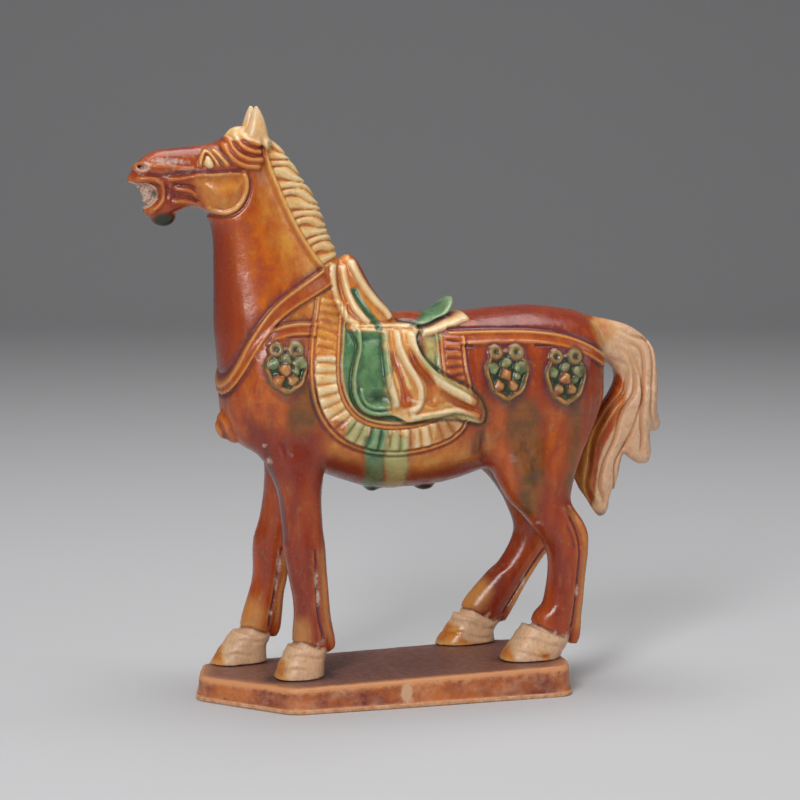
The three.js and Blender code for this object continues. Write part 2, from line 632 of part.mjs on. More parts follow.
// The slab's plan: its near head corner is cut to a blunt point, and the far corners are cut too.
function slabOutline(count) {
  const middle = (slabNear + slabFar) / 2;
  const corners = [
    [slabHead + slabHeadCut, slabNear],
    [slabTail - slabTailSkew, slabNear],
    [slabTail, nearSide],
    [slabTail, slabFar - slabTailCut],
    [slabTail - slabTailCut, slabFar],
    [slabHead + slabFarHeadCut, slabFar],
    [slabHead + slabFarHeadBend[0], slabFar - slabFarHeadBend[1]],
    [slabHead, middle],
  ].map(([x, y]) => new THREE.Vector2(x, y));
  const shape = new THREE.Shape();
  corners.forEach((corner, i) => {
    const before = corners.at(i - 1);
    const after = corners[(i + 1) % corners.length];
    const start = corner.clone().add(before.clone().sub(corner).setLength(slabCornerRadius));
    const end = corner.clone().add(after.clone().sub(corner).setLength(slabCornerRadius));
    if (i === 0) shape.moveTo(start.x, start.y);
    else shape.lineTo(start.x, start.y);
    shape.quadraticCurveTo(corner.x, corner.y, end.x, end.y);
  });
  shape.closePath();
  return shape.getSpacedPoints(count).slice(0, count);
}

// Height of the slab's top: it climbs from head to tail and falls away towards the far edge.
function slabTopAt(x, y) {
  const along = (x - slabHead) / (slabTail - slabHead);
  const across = Math.max(0, (y / slabFar - slabFallStart) / (1 - slabFallStart));
  return THREE.MathUtils.lerp(slabHeadThickness, slabTailThickness, along) - slabFarFall * across ** 2;
}

// The slab turned up from a profile, each row of which says the share of the way out,
// the millimetres further out, 1 on the top surface or 0 on the underside, and the height over that.
function slab({ spread = 0, lift = 0 }) {
  const sides = 44;
  const rim = slabEdgeRadius;
  const profile = [
    [0, 0, 1, 0],
    [0.7, 0, 1, 0],
    [1, -rim, 1, 0],
    [1, -rim * 0.25, 1, -rim * 0.3],
    [1, 0, 1, -rim],
    [1, 0, 0, lipHeight],
    [1, lipProud, 0, lipHeight * 0.7],
    [1, lipProud, 0, lipHeight * 0.2],
    [1, lipProud * 0.4, 0, 0],
    [0, 0, 0, 0],
  ];
  const outline = slabOutline(sides);
  const centre = new THREE.Vector2((slabHead + slabTail) / 2, (slabNear + slabFar) / 2);
  const lathe = new THREE.LatheGeometry(profile.map((row, i) => new THREE.Vector2(row[0], i)), sides);
  const place = (vertex) => {
    const row = profile[Math.round(vertex.y)];
    const turn = (Math.atan2(vertex.x, vertex.z) / (2 * Math.PI)) * sides;
    const edge = outline[(Math.round(turn) + sides) % sides].clone().sub(centre);
    const reach = edge.length() * row[0] + (row[0] ? row[1] + spread : 0);
    const spot = centre.clone().add(edge.setLength(Math.max(reach, 1e-9)));
    const level = row[2] ? slabTopAt(spot.x, spot.y) + row[3] + lift : row[3];
    return new THREE.Vector3(spot.x, spot.y, level);
  };
  return solidOf(carry(lathe, place));
}

const amberGlaze = { color: '#b5622a', roughness: 0.25, metalness: 0 };
const slabGlaze = { color: '#8a4a35', roughness: 0.35, metalness: 0 };

function glazed(name, solid, glaze) {
  const material = new THREE.MeshStandardMaterial(glaze);
  const mesh = new THREE.Mesh(geometryOf(solid), material);
  mesh.name = name;
  return mesh;
}

const figure = joined([
  body,
  loft(crestRows, { sides: 6, steps: maneLocks * lockSteps, reach: lockReach }),
  ...Object.values(tendonRows).map((rows) => loft(rows, { sides: 6, steps: rows.length - 1, squareness: 2.6 })),
  ...Object.values(knobs).map(knob),
  ...flankReliefs(near),
  ...flankReliefs(far),
]);
const horse = figure.subtract(slab({ spread: hoofGap, lift: hoofGap }));

const group = new THREE.Group();
group.add(glazed('horse', horse, amberGlaze));
group.add(glazed('base', slab({}), slabGlaze));

export default group;
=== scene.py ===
import math

import bpy
import numpy as np
import openvdb
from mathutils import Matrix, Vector


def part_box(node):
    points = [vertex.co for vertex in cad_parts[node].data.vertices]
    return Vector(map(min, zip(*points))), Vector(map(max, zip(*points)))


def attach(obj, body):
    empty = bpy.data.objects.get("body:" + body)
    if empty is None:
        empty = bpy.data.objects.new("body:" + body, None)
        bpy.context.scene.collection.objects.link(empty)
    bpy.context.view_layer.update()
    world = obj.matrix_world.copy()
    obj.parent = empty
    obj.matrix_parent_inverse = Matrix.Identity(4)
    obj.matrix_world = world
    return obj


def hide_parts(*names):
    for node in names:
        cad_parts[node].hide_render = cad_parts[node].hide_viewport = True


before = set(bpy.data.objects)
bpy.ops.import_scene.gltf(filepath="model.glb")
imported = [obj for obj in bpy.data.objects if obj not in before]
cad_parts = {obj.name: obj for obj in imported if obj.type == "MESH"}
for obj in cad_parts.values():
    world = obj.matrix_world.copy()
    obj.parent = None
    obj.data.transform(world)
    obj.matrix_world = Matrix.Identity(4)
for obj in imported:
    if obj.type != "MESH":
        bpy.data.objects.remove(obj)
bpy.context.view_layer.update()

MM = 0.001

# The camera stands off the horse's near shoulder, a little above its middle
CAMERA_TURN = math.radians(16.74)
CAMERA_DROP = math.radians(6.5)
CAMERA_AWAY = 1000
CAMERA_TARGET = Vector((13.56, 0, 114.85))
HALF_PICTURE = 400               # pixels
FOCAL_LENGTH = 2535.4            # pixels too
NEAREST_SEEN = 0.05
FARTHEST_SEEN = 20


def put_in_scene(name, data):
    thing = bpy.data.objects.new(name, data)
    bpy.context.scene.collection.objects.link(thing)
    return thing


def facing(look):
    """The turn that makes a camera or a light look along a direction."""
    return look.to_track_quat("-Z", "Y").to_euler()


def make_camera():
    data = bpy.data.cameras.new("camera")
    data.sensor_fit = "HORIZONTAL"
    data.angle = 2 * math.atan(HALF_PICTURE / FOCAL_LENGTH)
    data.clip_start = NEAREST_SEEN
    data.clip_end = FARTHEST_SEEN
    camera = put_in_scene("camera", data)
    level = math.cos(CAMERA_DROP)
    look = Vector((math.sin(CAMERA_TURN) * level, math.cos(CAMERA_TURN) * level, -math.sin(CAMERA_DROP)))
    camera.location = (CAMERA_TARGET - look * CAMERA_AWAY) * MM
    camera.rotation_euler = facing(look)
    bpy.context.scene.camera = camera


make_camera()

# The tables draw the figure at this length, standing at this level; the frame gives its real size
DRAWN_LENGTH = 218.3
DRAWN_HEIGHT = 219.2
DRAWN_STAND = 10.8
horse_low, horse_high = (np.array(corner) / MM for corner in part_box("horse"))
base_low, base_high = (np.array(corner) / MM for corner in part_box("base"))
GROW = (horse_high[0] - horse_low[0]) / DRAWN_LENGTH
STAND = horse_high[2] - DRAWN_HEIGHT * GROW

# Fineness of the figure
VOXEL = 0.5
BAND = 5.4                       # distances are known this far from the skin
RELIEF_REACH = 3.6               # and carved this far from it
PROUD_REACH = 1.0
TRIANGLES = 190000
HOOF_GAP = 0.3

# The trunk's rings stand upright: x, lower z, upper z, half width
TRUNK = [(x, low, x, high, half, 0) for x, low, high, half in (
    (-57.2, 112.5, 128, 5),
    (-56, 105.4, 138, 12.5),
    (-50, 98.8, 146, 19.2),
    (-40, 94.4, 150, 23.5),
    (-28, 91, 150, 25),
    (-15, 86, 148, 26),
    (0, 81.5, 148, 27),
    (15, 80.8, 149.8, 27.3),
    (30, 82.3, 149.4, 26.8),
    (42, 85.2, 150, 25.5),
    (54, 89, 151, 25.3),
    (66, 92, 151.5, 25.6),
    (78, 95, 150.2, 24.5),
    (87, 100, 148, 21.5),
    (93, 107, 143, 16),
    (96, 115, 133, 8),
)]
# Each row of the other lofts' tables: front x, front z, back x, back z, half width, middle y
NECK = [
    (-56.4, 112, -4, 138, 19.6, 0),
    (-58.2, 127, -8, 149, 18.8, 0),
    (-60.6, 142, -11.5, 160, 17.5, 0),
    (-60.8, 156, -15.5, 173, 15, 0),
    (-60.8, 168, -20, 184, 13, 0),
    (-61, 178, -25.5, 194, 11.6, 0),
    (-62, 185, -32.5, 203, 10.8, 0),
    (-64.8, 190, -39, 211, 10, 0),
    (-67.5, 195.6, -44, 217, 8.5, 0),
]
HEAD = [
    (-94, 201.6, -94, 203.2, 2, 0),
    (-92, 200.8, -92, 206.2, 4.2, 0),
    (-88.5, 200.2, -88.5, 210.3, 6, 0),
    (-84, 199.6, -84, 212.9, 6.9, 0),
    (-78, 197, -78, 214, 7.8, 0),
    (-70, 193, -70, 214.8, 9, 0),
    (-62, 190, -62, 215.9, 10.6, 0),
    (-55, 189.2, -55, 218.4, 11, 0),
    (-48, 193, -48, 221, 9.5, 0),
    (-42, 200, -42, 218, 6, 0),
]
JAW = [
    (-88.2, 190, -87.6, 192.8, 2.4, 0),
    (-86, 188, -85.4, 194.8, 4.4, 0),
    (-80.5, 187.6, -80.5, 197.5, 5.4, 0),
    (-75, 190, -75, 200, 6, 0),
    (-68, 191.8, -68, 201, 7, 0),
    (-60, 189, -60, 202, 8, 0),
]
MOUTH = [
    (-91, 199.5, -90.4, 202, 2, 0),
    (-87.8, 192.5, -89, 202, 3.4, 0),
    (-83.4, 192, -84.4, 203, 4.2, 0),
    (-76, 194, -77, 204, 5, 0),
]
CREST = [
    (-47, 211, -40, 218, 4.4, 0),
    (-43, 204, -33.6, 212.2, 6, 0),
    (-37, 195, -27, 202.6, 7, 0),
    (-32, 185, -20.8, 193, 7.8, 0),
    (-28, 174, -16.6, 181.5, 8.4, 0),
    (-24, 165, -13.2, 173, 8.8, 0),
    (-20, 156, -11, 162, 7, 0),
]
EAR = [
    (-50.5, 216, -39.5, 214, 3.4, -5),
    (-48.6, 222, -41, 221, 3, -4.9),
    (-47.2, 226.4, -42.3, 226, 2.1, -4.6),
    (-45.6, 230, -44.4, 230, 0.6, -4.4),
]
POMMEL = [
    (-22, 140, 14, 145, 17, 0),
    (-17, 152, 8, 151.5, 13.5, 0),
    (-14.5, 160, 1.7, 159.5, 10, 0),
    (-13.4, 166.6, -2.2, 166.6, 7.5, 0),
    (-11.6, 170.6, -4.3, 170.4, 5, 0),
    (-8.8, 172.7, -6.6, 172.5, 2, 0),
]
CANTLE = [
    (12, 141, 38, 144, 15, 0),
    (21.6, 146.5, 33, 149, 12.5, 0),
    (27, 149.7, 32.4, 151, 10, 0),
    (30.8, 152.8, 33.6, 153.4, 7, 0),
    (33.3, 155.4, 34.4, 155.4, 2.5, 0),
]
LEGS = {
    "near fore": [
        (-45, 112, -24, 110, 8, -6),
        (-46.2, 101, -20, 99, 11.4, -9.8),
        (-43.2, 91, -21.5, 89, 10.2, -12.4),
        (-40, 82, -22.8, 80, 8.9, -14.2),
        (-38.6, 70, -22.6, 69, 8, -15.2),
        (-37.8, 60, -22.1, 60, 7.7, -16),
        (-36, 50, -21.9, 51, 7.1, -16),
        (-34.3, 41, -21.4, 42, 6.7, -16),
        (-34, 34, -20.6, 34, 6.7, -16),
        (-34.5, 27, -19.6, 27, 7, -16),
        (-35, 17, -22, 17, 6.5, -16),
    ],
    "far fore": [
        (-45, 112, -24, 110, 8, 6),
        (-44, 101, -19.5, 99, 11.4, 10),
        (-38.4, 91, -19, 88, 10.2, 13.6),
        (-37.6, 80, -22, 79, 8.8, 16),
        (-39.2, 67, -24, 67, 8.1, 17.5),
        (-41.5, 59, -27, 58, 7.7, 18.5),
        (-41.8, 48, -28, 48.5, 7.1, 19),
        (-42.5, 41, -29.8, 42, 6.7, 19),
        (-44.3, 35, -31, 36.5, 6.7, 19),
        (-46.8, 27, -31.8, 29, 6.9, 19),
        (-48, 18, -36, 18, 6.5, 19),
    ],
    "near hind": [
        (60, 124, 86, 126, 8, -5),
        (51, 115, 92, 118, 12.6, -9),
        (46.4, 106, 91.6, 109, 13.6, -10),
        (45, 97, 88.5, 101, 13, -11.8),
        (47.5, 86, 82.5, 89, 11.2, -15),
        (53.5, 75.5, 79, 77, 9.2, -16.5),
        (60, 68.5, 80.3, 69.5, 8.2, -17.5),
        (68.5, 56.4, 85.2, 56, 7.5, -18),
        (69.7, 46, 84.2, 46.5, 7, -18),
        (67.8, 34.5, 82.9, 35, 6.9, -18),
        (63.3, 28.5, 82.4, 28, 7.2, -18),
        (62, 18, 76, 16, 6.8, -18),
    ],
    "far hind": [
        (60, 124, 86, 126, 8, 5),
        (51, 115, 92, 118, 12.6, 9),
        (47.4, 106, 91.6, 109, 13.6, 10),
        (46, 97, 90, 101, 13, 12),
        (51, 86, 88, 88, 11.2, 16),
        (58, 79, 87, 80, 9.4, 18),
        (65, 68.5, 91, 70, 8.2, 20),
        (68.7, 57, 91.8, 58.5, 7.5, 20.6),
        (63.3, 45, 80.5, 46, 7.1, 21),
        (56.6, 38.9, 75.5, 39, 6.9, 21),
        (46.6, 27.6, 67.5, 26, 7, 21),
        (46, 18, 60, 17, 6.5, 21),
    ],
}
HOOVES = {
    "near fore": [
        (-36.3, 23, -22.5, 19.5, 7.2, -16),
        (-39.4, 16.5, -22.4, 15, 8, -16),
        (-42.2, 9, -22.5, 9.5, 8.8, -16),
        (-42.6, 4, -22.5, 4, 8.8, -16),
    ],
    "far fore": [
        (-50, 22.5, -36.5, 19.5, 7.2, 19),
        (-55.6, 15.5, -37, 14.5, 8, 19),
        (-60.3, 7.5, -36.5, 8, 8.8, 19),
        (-60.6, 3, -36.5, 3, 8.8, 19),
    ],
    "near hind": [
        (59.5, 26, 77, 18.5, 7.8, -18),
        (54, 19, 75.2, 15, 8.6, -18),
        (50, 13, 74, 11.5, 9, -18),
        (50, 5, 74, 5, 9, -18),
    ],
    "far hind": [
        (43.5, 24, 59.5, 18.5, 7.6, 21),
        (39.5, 17.5, 59.5, 15, 8.4, 21),
        (35.7, 12, 60, 11.5, 9, 21),
        (35.5, 4, 60, 4, 9, 21),
    ],
}
# The cords behind the cannons, each ending in a spur over the hoof
TENDONS = {
    "near fore": [
        (-28.2, 73, -25.2, 73, 2.2, -16),
        (-25.8, 64, -22.4, 64, 3.6, -16),
        (-26.2, 50, -21.2, 50, 4.8, -16),
        (-25.4, 35, -20, 35, 4.8, -16),
        (-23.4, 23, -18, 23, 4.6, -16),
        (-22, 19.6, -20, 19.6, 2.5, -16),
    ],
    "far fore": [
        (-33.4, 67, -30, 67, 2.2, 19),
        (-32, 58, -26.8, 58, 3.6, 19),
        (-33.6, 44, -28.2, 44, 4.8, 19),
        (-35.3, 35, -29.8, 36, 4.8, 19),
        (-36.8, 23.5, -30.8, 24, 4.6, 19),
        (-35, 19.4, -32.5, 19.6, 2.4, 19),
    ],
    "near hind": [
        (68.6, 81, 72, 82.4, 2.4, -18),
        (73, 73, 78.2, 74, 4, -18),
        (79.6, 61, 85.4, 62, 5, -18),
        (80.6, 48, 84.7, 48.5, 5, -18),
        (79, 32, 83.2, 32, 5, -18),
        (77.4, 22, 82.6, 21.5, 4.8, -18),
        (77.5, 17.6, 81.6, 17, 3, -18),
    ],
    "far hind": [
        (83.6, 77, 87.4, 78.4, 2.6, 20.4),
        (86, 68, 91.2, 70, 4.4, 20.5),
        (87, 58, 92.6, 60, 5, 20.6),
        (76, 44, 81, 46.6, 5, 21),
        (67.7, 32, 72.7, 34, 5, 21),
        (61.6, 22.5, 67, 24, 4.8, 21),
        (60.5, 19.5, 65, 20, 3, 21),
    ],
}
TAIL = {
    "root": [
        (86, 132, 84, 148, 5, 0),
        (96, 129, 99, 145.2, 6, 0),
        (101.6, 126.6, 110.4, 141.6, 7, 0),
        (103.8, 123, 119.2, 134.4, 7.5, 0),
        (104.4, 118, 121.8, 124, 8, 0),
        (103, 110, 122, 113, 8, 0),
    ],
    "outer": [
        (110, 122, 121.6, 122, 6.5, 1),
        (113, 110, 122, 110, 5.5, 1),
        (116, 103, 124, 103, 4, 1),
        (118, 99.4, 124.3, 100.5, 2.6, 1),
        (120, 98.6, 123, 98.6, 1, 1),
    ],
    "middle": [
        (104, 116, 121, 117, 7.5, -1),
        (104, 106, 121, 106, 7, -1),
        (106, 97, 119, 98, 5.5, -1),
        (108.5, 90, 119.6, 91, 4.5, -1),
        (112, 87, 119, 87, 3, -1),
        (114.5, 85.6, 117.5, 85.6, 1, -1),
    ],
    "inner": [
        (106.4, 123.4, 114, 123.4, 4, 0),
        (102.6, 116, 115.8, 117, 7, 0),
        (97, 108, 113, 107, 6.5, 0),
        (91, 97, 109.5, 96, 6, 0),
        (86.5, 86, 107, 87, 5.5, 0),
        (88.5, 78, 104.9, 78, 5, 0),
        (92.5, 72, 102.8, 72, 4, 0),
        (95.8, 67, 100.8, 66.5, 2.5, 0),
        (97.6, 65, 98.8, 64.8, 0.8, 0),
    ],
}
# Knobs: middle x, y, z and the half sizes along them
KNOBS = {
    "forelock tuft": (-50.6, 0, 217, 6, 5.2, 5.4),
    "chest boss": (-56.1, 0, 107.6, 5, 5.8, 6),
    "chest boss, lower end": (-53.8, 0, 104.4, 4.6, 5.4, 4.2),
    "chin drip": (-80.6, 0, 188.2, 4.8, 3.6, 3.7),
    "belly drip in front": (1.6, -2, 82, 3.4, 4, 2.3),
    "belly drip behind": (22.6, -2, 81.8, 4.2, 4.4, 2.7),
}


# Curves and lofts


def curve_through(points, count):
    """The points of a smooth curve through the given ones, evenly spaced in its own measure."""
    given = np.asarray(points, float)
    known = np.vstack([2 * given[0] - given[1], given, 2 * given[-1] - given[-2]])
    level = np.linspace(0, len(given) - 1, count)
    start = np.minimum(level.astype(int), len(given) - 2)
    part = (level - start)[:, None]
    a, b, c, d = known[start], known[start + 1], known[start + 2], known[start + 3]
    bend = (2 * a - 5 * b + 4 * c - d) * part**2
    twist = (3 * b - a - 3 * c + d) * part**3
    return 0.5 * (2 * b + (c - a) * part + bend + twist)


def rounded(value, squareness):
    return np.sign(value) * np.abs(value) ** (2 / squareness)


def closed_tube(rings):
    """Points and triangles of a solid through rings of points, closed at both ends."""
    count, sides = rings.shape[:2]
    points = np.vstack([rings.reshape(-1, 3), rings[0].mean(0), rings[-1].mean(0)])
    ring, side = np.meshgrid(np.arange(count - 1), np.arange(sides), indexing="ij")
    here = (ring * sides + side).ravel()
    next_side = (ring * sides + (side + 1) % sides).ravel()
    next_ring = here + sides
    walls = [
        np.stack([here, next_side, next_ring], 1),
        np.stack([next_side, next_side + sides, next_ring], 1),
    ]
    around = np.arange(sides)
    turned = (around + 1) % sides
    first = np.stack([np.full(sides, count * sides), turned, around], 1)
    last_ring = (count - 1) * sides
    last = np.stack([np.full(sides, count * sides + 1), last_ring + around, last_ring + turned], 1)
    return points, np.vstack([*walls, first, last])


LOFT_STEPS = 10                  # rings from one row of a table to the next
KNOB_RINGS = 24
KNOB_SIDES = 32
KNOB_END = 0.05                  # angle that each of a knob's flat ends takes


def loft(rows, belly=0.5, squareness=2.2, sides=56):
    """A solid through rings that lie between a front line and a back line.
    belly says where between them a ring is widest, and squareness how boxy it is."""
    count = (len(rows) - 1) * LOFT_STEPS + 1
    front_x, front_z, back_x, back_z, half, middle = curve_through(rows, count).T[:, :, None]
    angle = np.linspace(0, 2 * math.pi, sides, endpoint=False)[None, :]
    along = rounded(np.cos(angle), squareness)
    share = belly + along * np.where(along > 0, 1 - belly, belly)
    x = front_x + (back_x - front_x) * share
    z = front_z + (back_z - front_z) * share
    y = middle + rounded(np.sin(angle), squareness) * half
    return closed_tube(np.stack([x, y, z], 2))


def knob(middle_x, middle_y, middle_z, half_x, half_y, half_z):
    """An egg of the given half sizes."""
    rings = np.linspace(KNOB_END, math.pi - KNOB_END, KNOB_RINGS)
    sides = np.linspace(0, 2 * math.pi, KNOB_SIDES, endpoint=False)
    fall, turn = np.meshgrid(rings, sides)
    x = middle_x + half_x * np.sin(fall) * np.cos(turn)
    y = middle_y + half_y * np.sin(fall) * np.sin(turn)
    z = middle_z + half_z * np.cos(fall)
    return closed_tube(np.stack([x, y, z], 2).transpose(1, 0, 2))


# Clay: the distance to the skin on a grid, so that forms run into each other


def soft_least(one, other, reach):
    """The lesser of two distances, rounded off where they come within reach of each other."""
    share = np.clip(0.5 + 0.5 * (other - one) / reach, 0, 1)
    return other + (one - other) * share - reach * share * (1 - share)


def softened(block, reach):
    """The mean of a block over the cells that lie within reach each way."""
    for axis in range(3):
        turned = np.moveaxis(block, axis, 0)
        padded = np.pad(turned, [(reach + 1, reach), (0, 0), (0, 0)], mode="edge")
        total = np.cumsum(padded, axis=0, dtype=np.float32)
        mean = (total[2 * reach + 1:] - total[:-2 * reach - 1]) / (2 * reach + 1)
        block = np.moveaxis(mean, 0, axis)
    return block


class Clay:
    """A block of distances around the figure, negative inside it."""

    def __init__(self, low, high):
        self.low = np.floor(np.array(low) / VOXEL).astype(int)
        self.count = np.ceil(np.array(high) / VOXEL).astype(int) - self.low
        self.distance = np.full(self.count, BAND, np.float32)

    def measure(self, solid):
        """The distances to a solid within its own box, and the part of the block that they cover."""
        points, triangles = solid
        margin = int(BAND / VOXEL) + 1
        start = np.maximum(np.floor(points.min(0) / VOXEL).astype(int) - margin, self.low)
        stop = np.minimum(np.ceil(points.max(0) / VOXEL).astype(int) + margin, self.low + self.count)
        transform = openvdb.createLinearTransform(voxelSize=VOXEL)
        level_set = openvdb.FloatGrid.createLevelSetFromPolygons(
            points.astype(np.float32),
            triangles=triangles.astype(np.uint32),
            transform=transform,
            halfWidth=BAND / VOXEL,
        )
        values = np.empty(stop - start, np.float32)
        level_set.copyToArray(values, ijk=tuple(int(i) for i in start))
        part = tuple(slice(a, b) for a, b in zip(start - self.low, stop - self.low))
        return part, values

    def add(self, solid, blend):
        part, values = self.measure(solid)
        self.distance[part] = soft_least(self.distance[part], values, blend)

    def places(self, cells):
        """The x, y and z of cells of the block."""
        return [((cells[k] + self.low[k]) * VOXEL).astype(np.float32) for k in range(3)]

    def proudness(self, x, y, z):
        """How far the skin stands out of its surroundings at points; negative in hollows."""
        reach = max(1, round(PROUD_REACH / VOXEL))
        block = softened(softened(self.distance, reach), reach) - self.distance
        at = [np.clip(value / VOXEL - low, 0, count - 1.001)
              for value, low, count in zip((x, y, z), self.low, self.count)]
        cell = [value.astype(np.int32) for value in at]
        share = [value - corner for value, corner in zip(at, cell)]
        total = 0
        for corner in np.ndindex(2, 2, 2):
            weight = math.prod(share[k] if corner[k] else 1 - share[k] for k in range(3))
            total = total + weight * block[tuple(cell[k] + corner[k] for k in range(3))]
        return total

    def mesh(self):
        """Points and quads of the skin."""
        grid = openvdb.FloatGrid(BAND)
        grid.copyFromArray(self.distance, ijk=tuple(int(i) for i in self.low))
        grid.transform = openvdb.createLinearTransform(voxelSize=VOXEL)
        return grid.convertToQuads(0.0)


# Maps of the flanks: over x and z they say what stands proud and which glaze lies where

MAP_STEP = 0.25
MAP_LOW = np.array([-98.0, 5.0])
MAP_COUNT = np.array([912, 912])
MAP_X = MAP_LOW[0] + MAP_STEP * np.arange(MAP_COUNT[0])
MAP_Z = MAP_LOW[1] + MAP_STEP * np.arange(MAP_COUNT[1])
COATS = ("orange", "amber", "cream", "pale", "green", "olive")
# The tints lie over all coats, in this order
TINTS = ("light", "deep", "biscuit", "dark", "bare", "thick_glaze_and_shade")


def smoothly(value):
    value = np.clip(value, 0, 1)
    return value * value * (3 - 2 * value)


def between(value, start, end, soft):
    """One from start to end, rising and falling over soft millimetres within them."""
    return smoothly((value - start) / soft) * smoothly((end - value) / soft)


def bump(gap, half):
    """A rounded hill, one where the gap is nought and nothing beyond half."""
    return np.clip(1 - (gap / half) ** 2, 0, 1) ** 2


class Window:
    """The part of the maps within reach of some points."""

    def __init__(self, points, reach):
        low = np.floor((points.min(0) - reach - MAP_LOW) / MAP_STEP).astype(int)
        high = np.ceil((points.max(0) + reach - MAP_LOW) / MAP_STEP).astype(int)
        low = np.clip(low, 0, MAP_COUNT - 1)
        high = np.clip(high, low + 1, MAP_COUNT)
        self.part = (slice(low[0], high[0]), slice(low[1], high[1]))
        self.x = MAP_X[self.part[0]][:, None]
        self.z = MAP_Z[self.part[1]][None, :]


class Stroke(Window):
    """A smooth line on the maps: for each point near it, its gap, side and place along the line."""

    def __init__(self, points, reach, closed=False):
        given = list(points) + ([points[0]] if closed else [])
        rough = curve_through(given, len(given) * 8)
        line = rough[:: max(1, len(rough) // (len(given) * 4))]
        if not np.allclose(line[-1], rough[-1]):
            line = np.vstack([line, rough[-1]])
        super().__init__(line, reach)
        shape = (self.x.shape[0], self.z.shape[1])
        self.gap = np.full(shape, np.inf)
        self.side = np.ones(shape)
        self.along = np.zeros(shape)
        done = 0.0
        for a, b in zip(line[:-1], line[1:]):
            way = b - a
            length = max(np.hypot(*way), 1e-6)
            dx = self.x - a[0]
            dz = self.z - a[1]
            share = np.clip((dx * way[0] + dz * way[1]) / length**2, 0, 1)
            gap = np.hypot(dx - share * way[0], dz - share * way[1])
            closer = gap < self.gap
            self.gap = np.where(closer, gap, self.gap)
            self.side = np.where(closer, np.sign(dz * way[0] - dx * way[1]), self.side)
            self.along = np.where(closer, done + share * length, self.along)
            done += length
        self.length = done
        self.line = line

    def ends(self, fade):
        """Fades from nothing at either end to one."""
        return between(self.along, 0, self.length, fade)

    def swell(self, half, fade):
        """A rounded swelling along the line, with ends that fade."""
        return bump(self.gap, half) * self.ends(fade)


class Area(Stroke):
    """A closed outline: inside says how deep within it a point lies, in millimetres."""

    def __init__(self, points, reach):
        super().__init__(points, reach, closed=True)
        crossings = np.zeros(self.gap.shape, bool)
        for (ax, az), (bx, bz) in zip(self.line[:-1], self.line[1:]):
            if az == bz:
                continue
            spans = (self.z >= min(az, bz)) & (self.z < max(az, bz))
            crossings ^= spans & (self.x < ax + (self.z - az) * (bx - ax) / (bz - az))
        self.inside = np.where(crossings, self.gap, -self.gap)

    def cover(self, soft):
        return smoothly(0.5 + self.inside / soft)


RIDGE_FADE = 2                   # over which ridges and most grooves fade at their ends


class Flank:
    """What one flank carries: its relief and its glazes."""

    def __init__(self):
        self.height = np.zeros(MAP_COUNT, np.float32)
        self.glaze = {name: np.zeros(MAP_COUNT, np.float32) for name in COATS + TINTS}

    def build(self, window, amount):
        self.height[window.part] += amount

    def lay(self, window, cover, height):
        """Something laid over what is there: where it covers, its height counts instead."""
        below = self.height[window.part]
        self.height[window.part] = below + (height - below) * cover

    def coat(self, window, name, cover):
        """A coat of glaze over what is there."""
        for other in COATS:
            wanted = 1 if other == name else 0
            values = self.glaze[other][window.part]
            self.glaze[other][window.part] = values + (wanted - values) * cover

    def tint(self, window, name, cover):
        values = self.glaze[name][window.part]
        self.glaze[name][window.part] = np.maximum(values, cover)

    def fade(self, window, name, cover):
        """Takes away one tint of what is covered."""
        self.glaze[name][window.part] *= 1 - cover

    def clear(self, window, cover):
        """Takes away all tints of what is covered."""
        for name in TINTS:
            self.fade(window, name, cover)

    def pour(self, outline, name, soft, share=1.0):
        """A coat of glaze over an outline, with a border as soft as told."""
        area = Area(outline, soft)
        self.coat(area, name, share * area.cover(soft))
        return area

    def ridge(self, half, height, points, coat=None, groove=0.0):
        """A rounded ridge, with a crease on both sides where groove is given, darkened with painted shade."""
        stroke = Stroke(points, half * 2.4)
        ends = stroke.ends(RIDGE_FADE)
        self.build(stroke, height * bump(stroke.gap, half) * ends)
        if groove:
            crease = bump(stroke.gap - half * 1.15, half * 0.6) * ends
            self.build(stroke, -groove * crease)
            self.tint(stroke, "dark", 1.5 * groove * crease)
        if coat:
            self.coat(stroke, coat, bump(stroke.gap, half * 1.2) * ends)
        return stroke

    def groove(self, half, depth, points, dark, fade=RIDGE_FADE):
        """A rounded groove, darkened with painted shade as dark as told."""
        stroke = Stroke(points, half * 1.6)
        self.build(stroke, -depth * stroke.swell(half, fade))
        self.tint(stroke, "dark", dark * stroke.swell(half * 1.1, fade))


def sample(field, x, z):
    """A map read between its points."""
    column = np.clip((x - MAP_LOW[0]) / MAP_STEP, 0, MAP_COUNT[0] - 1.001)
    row = np.clip((z - MAP_LOW[1]) / MAP_STEP, 0, MAP_COUNT[1] - 1.001)
    i = column.astype(np.int32)
    j = row.astype(np.int32)
    u = column - i
    v = row - j
    low = field[i, j] * (1 - u) + field[i + 1, j] * u
    high = field[i, j + 1] * (1 - u) + field[i + 1, j + 1] * u
    return low * (1 - v) + high * v


# Harness

STRAP_EDGE = 0.6
STRAP_HEIGHT = 1.1
LOWER_EDGE = 0.55                # how high and light a strap's lower edge is beside the upper one
# Each strap's half width at its start and end, and its line
STRAPS = {
    "shoulder": ((2.5, 2.2), [(-20, 144.4), (-28, 145.4), (-34, 145.4), (-39.6, 144.4), (-44, 142.6),
                              (-47, 141)]),
    "breast": ((3.5, 1.3), [(-18.4, 165), (-22, 163), (-28, 159.8), (-35.2, 155.5), (-41, 151), (-46, 145),
                            (-50.4, 138.6), (-53.8, 132), (-57, 126), (-60, 120.6), (-63, 116)]),
    "crupper": ((2.6, 2.2), [(27, 140.6), (47.4, 140.8), (62, 140.4), (74, 138.6), (83.6, 135.2), (92, 130.6),
                             (95, 128.8)]),
}


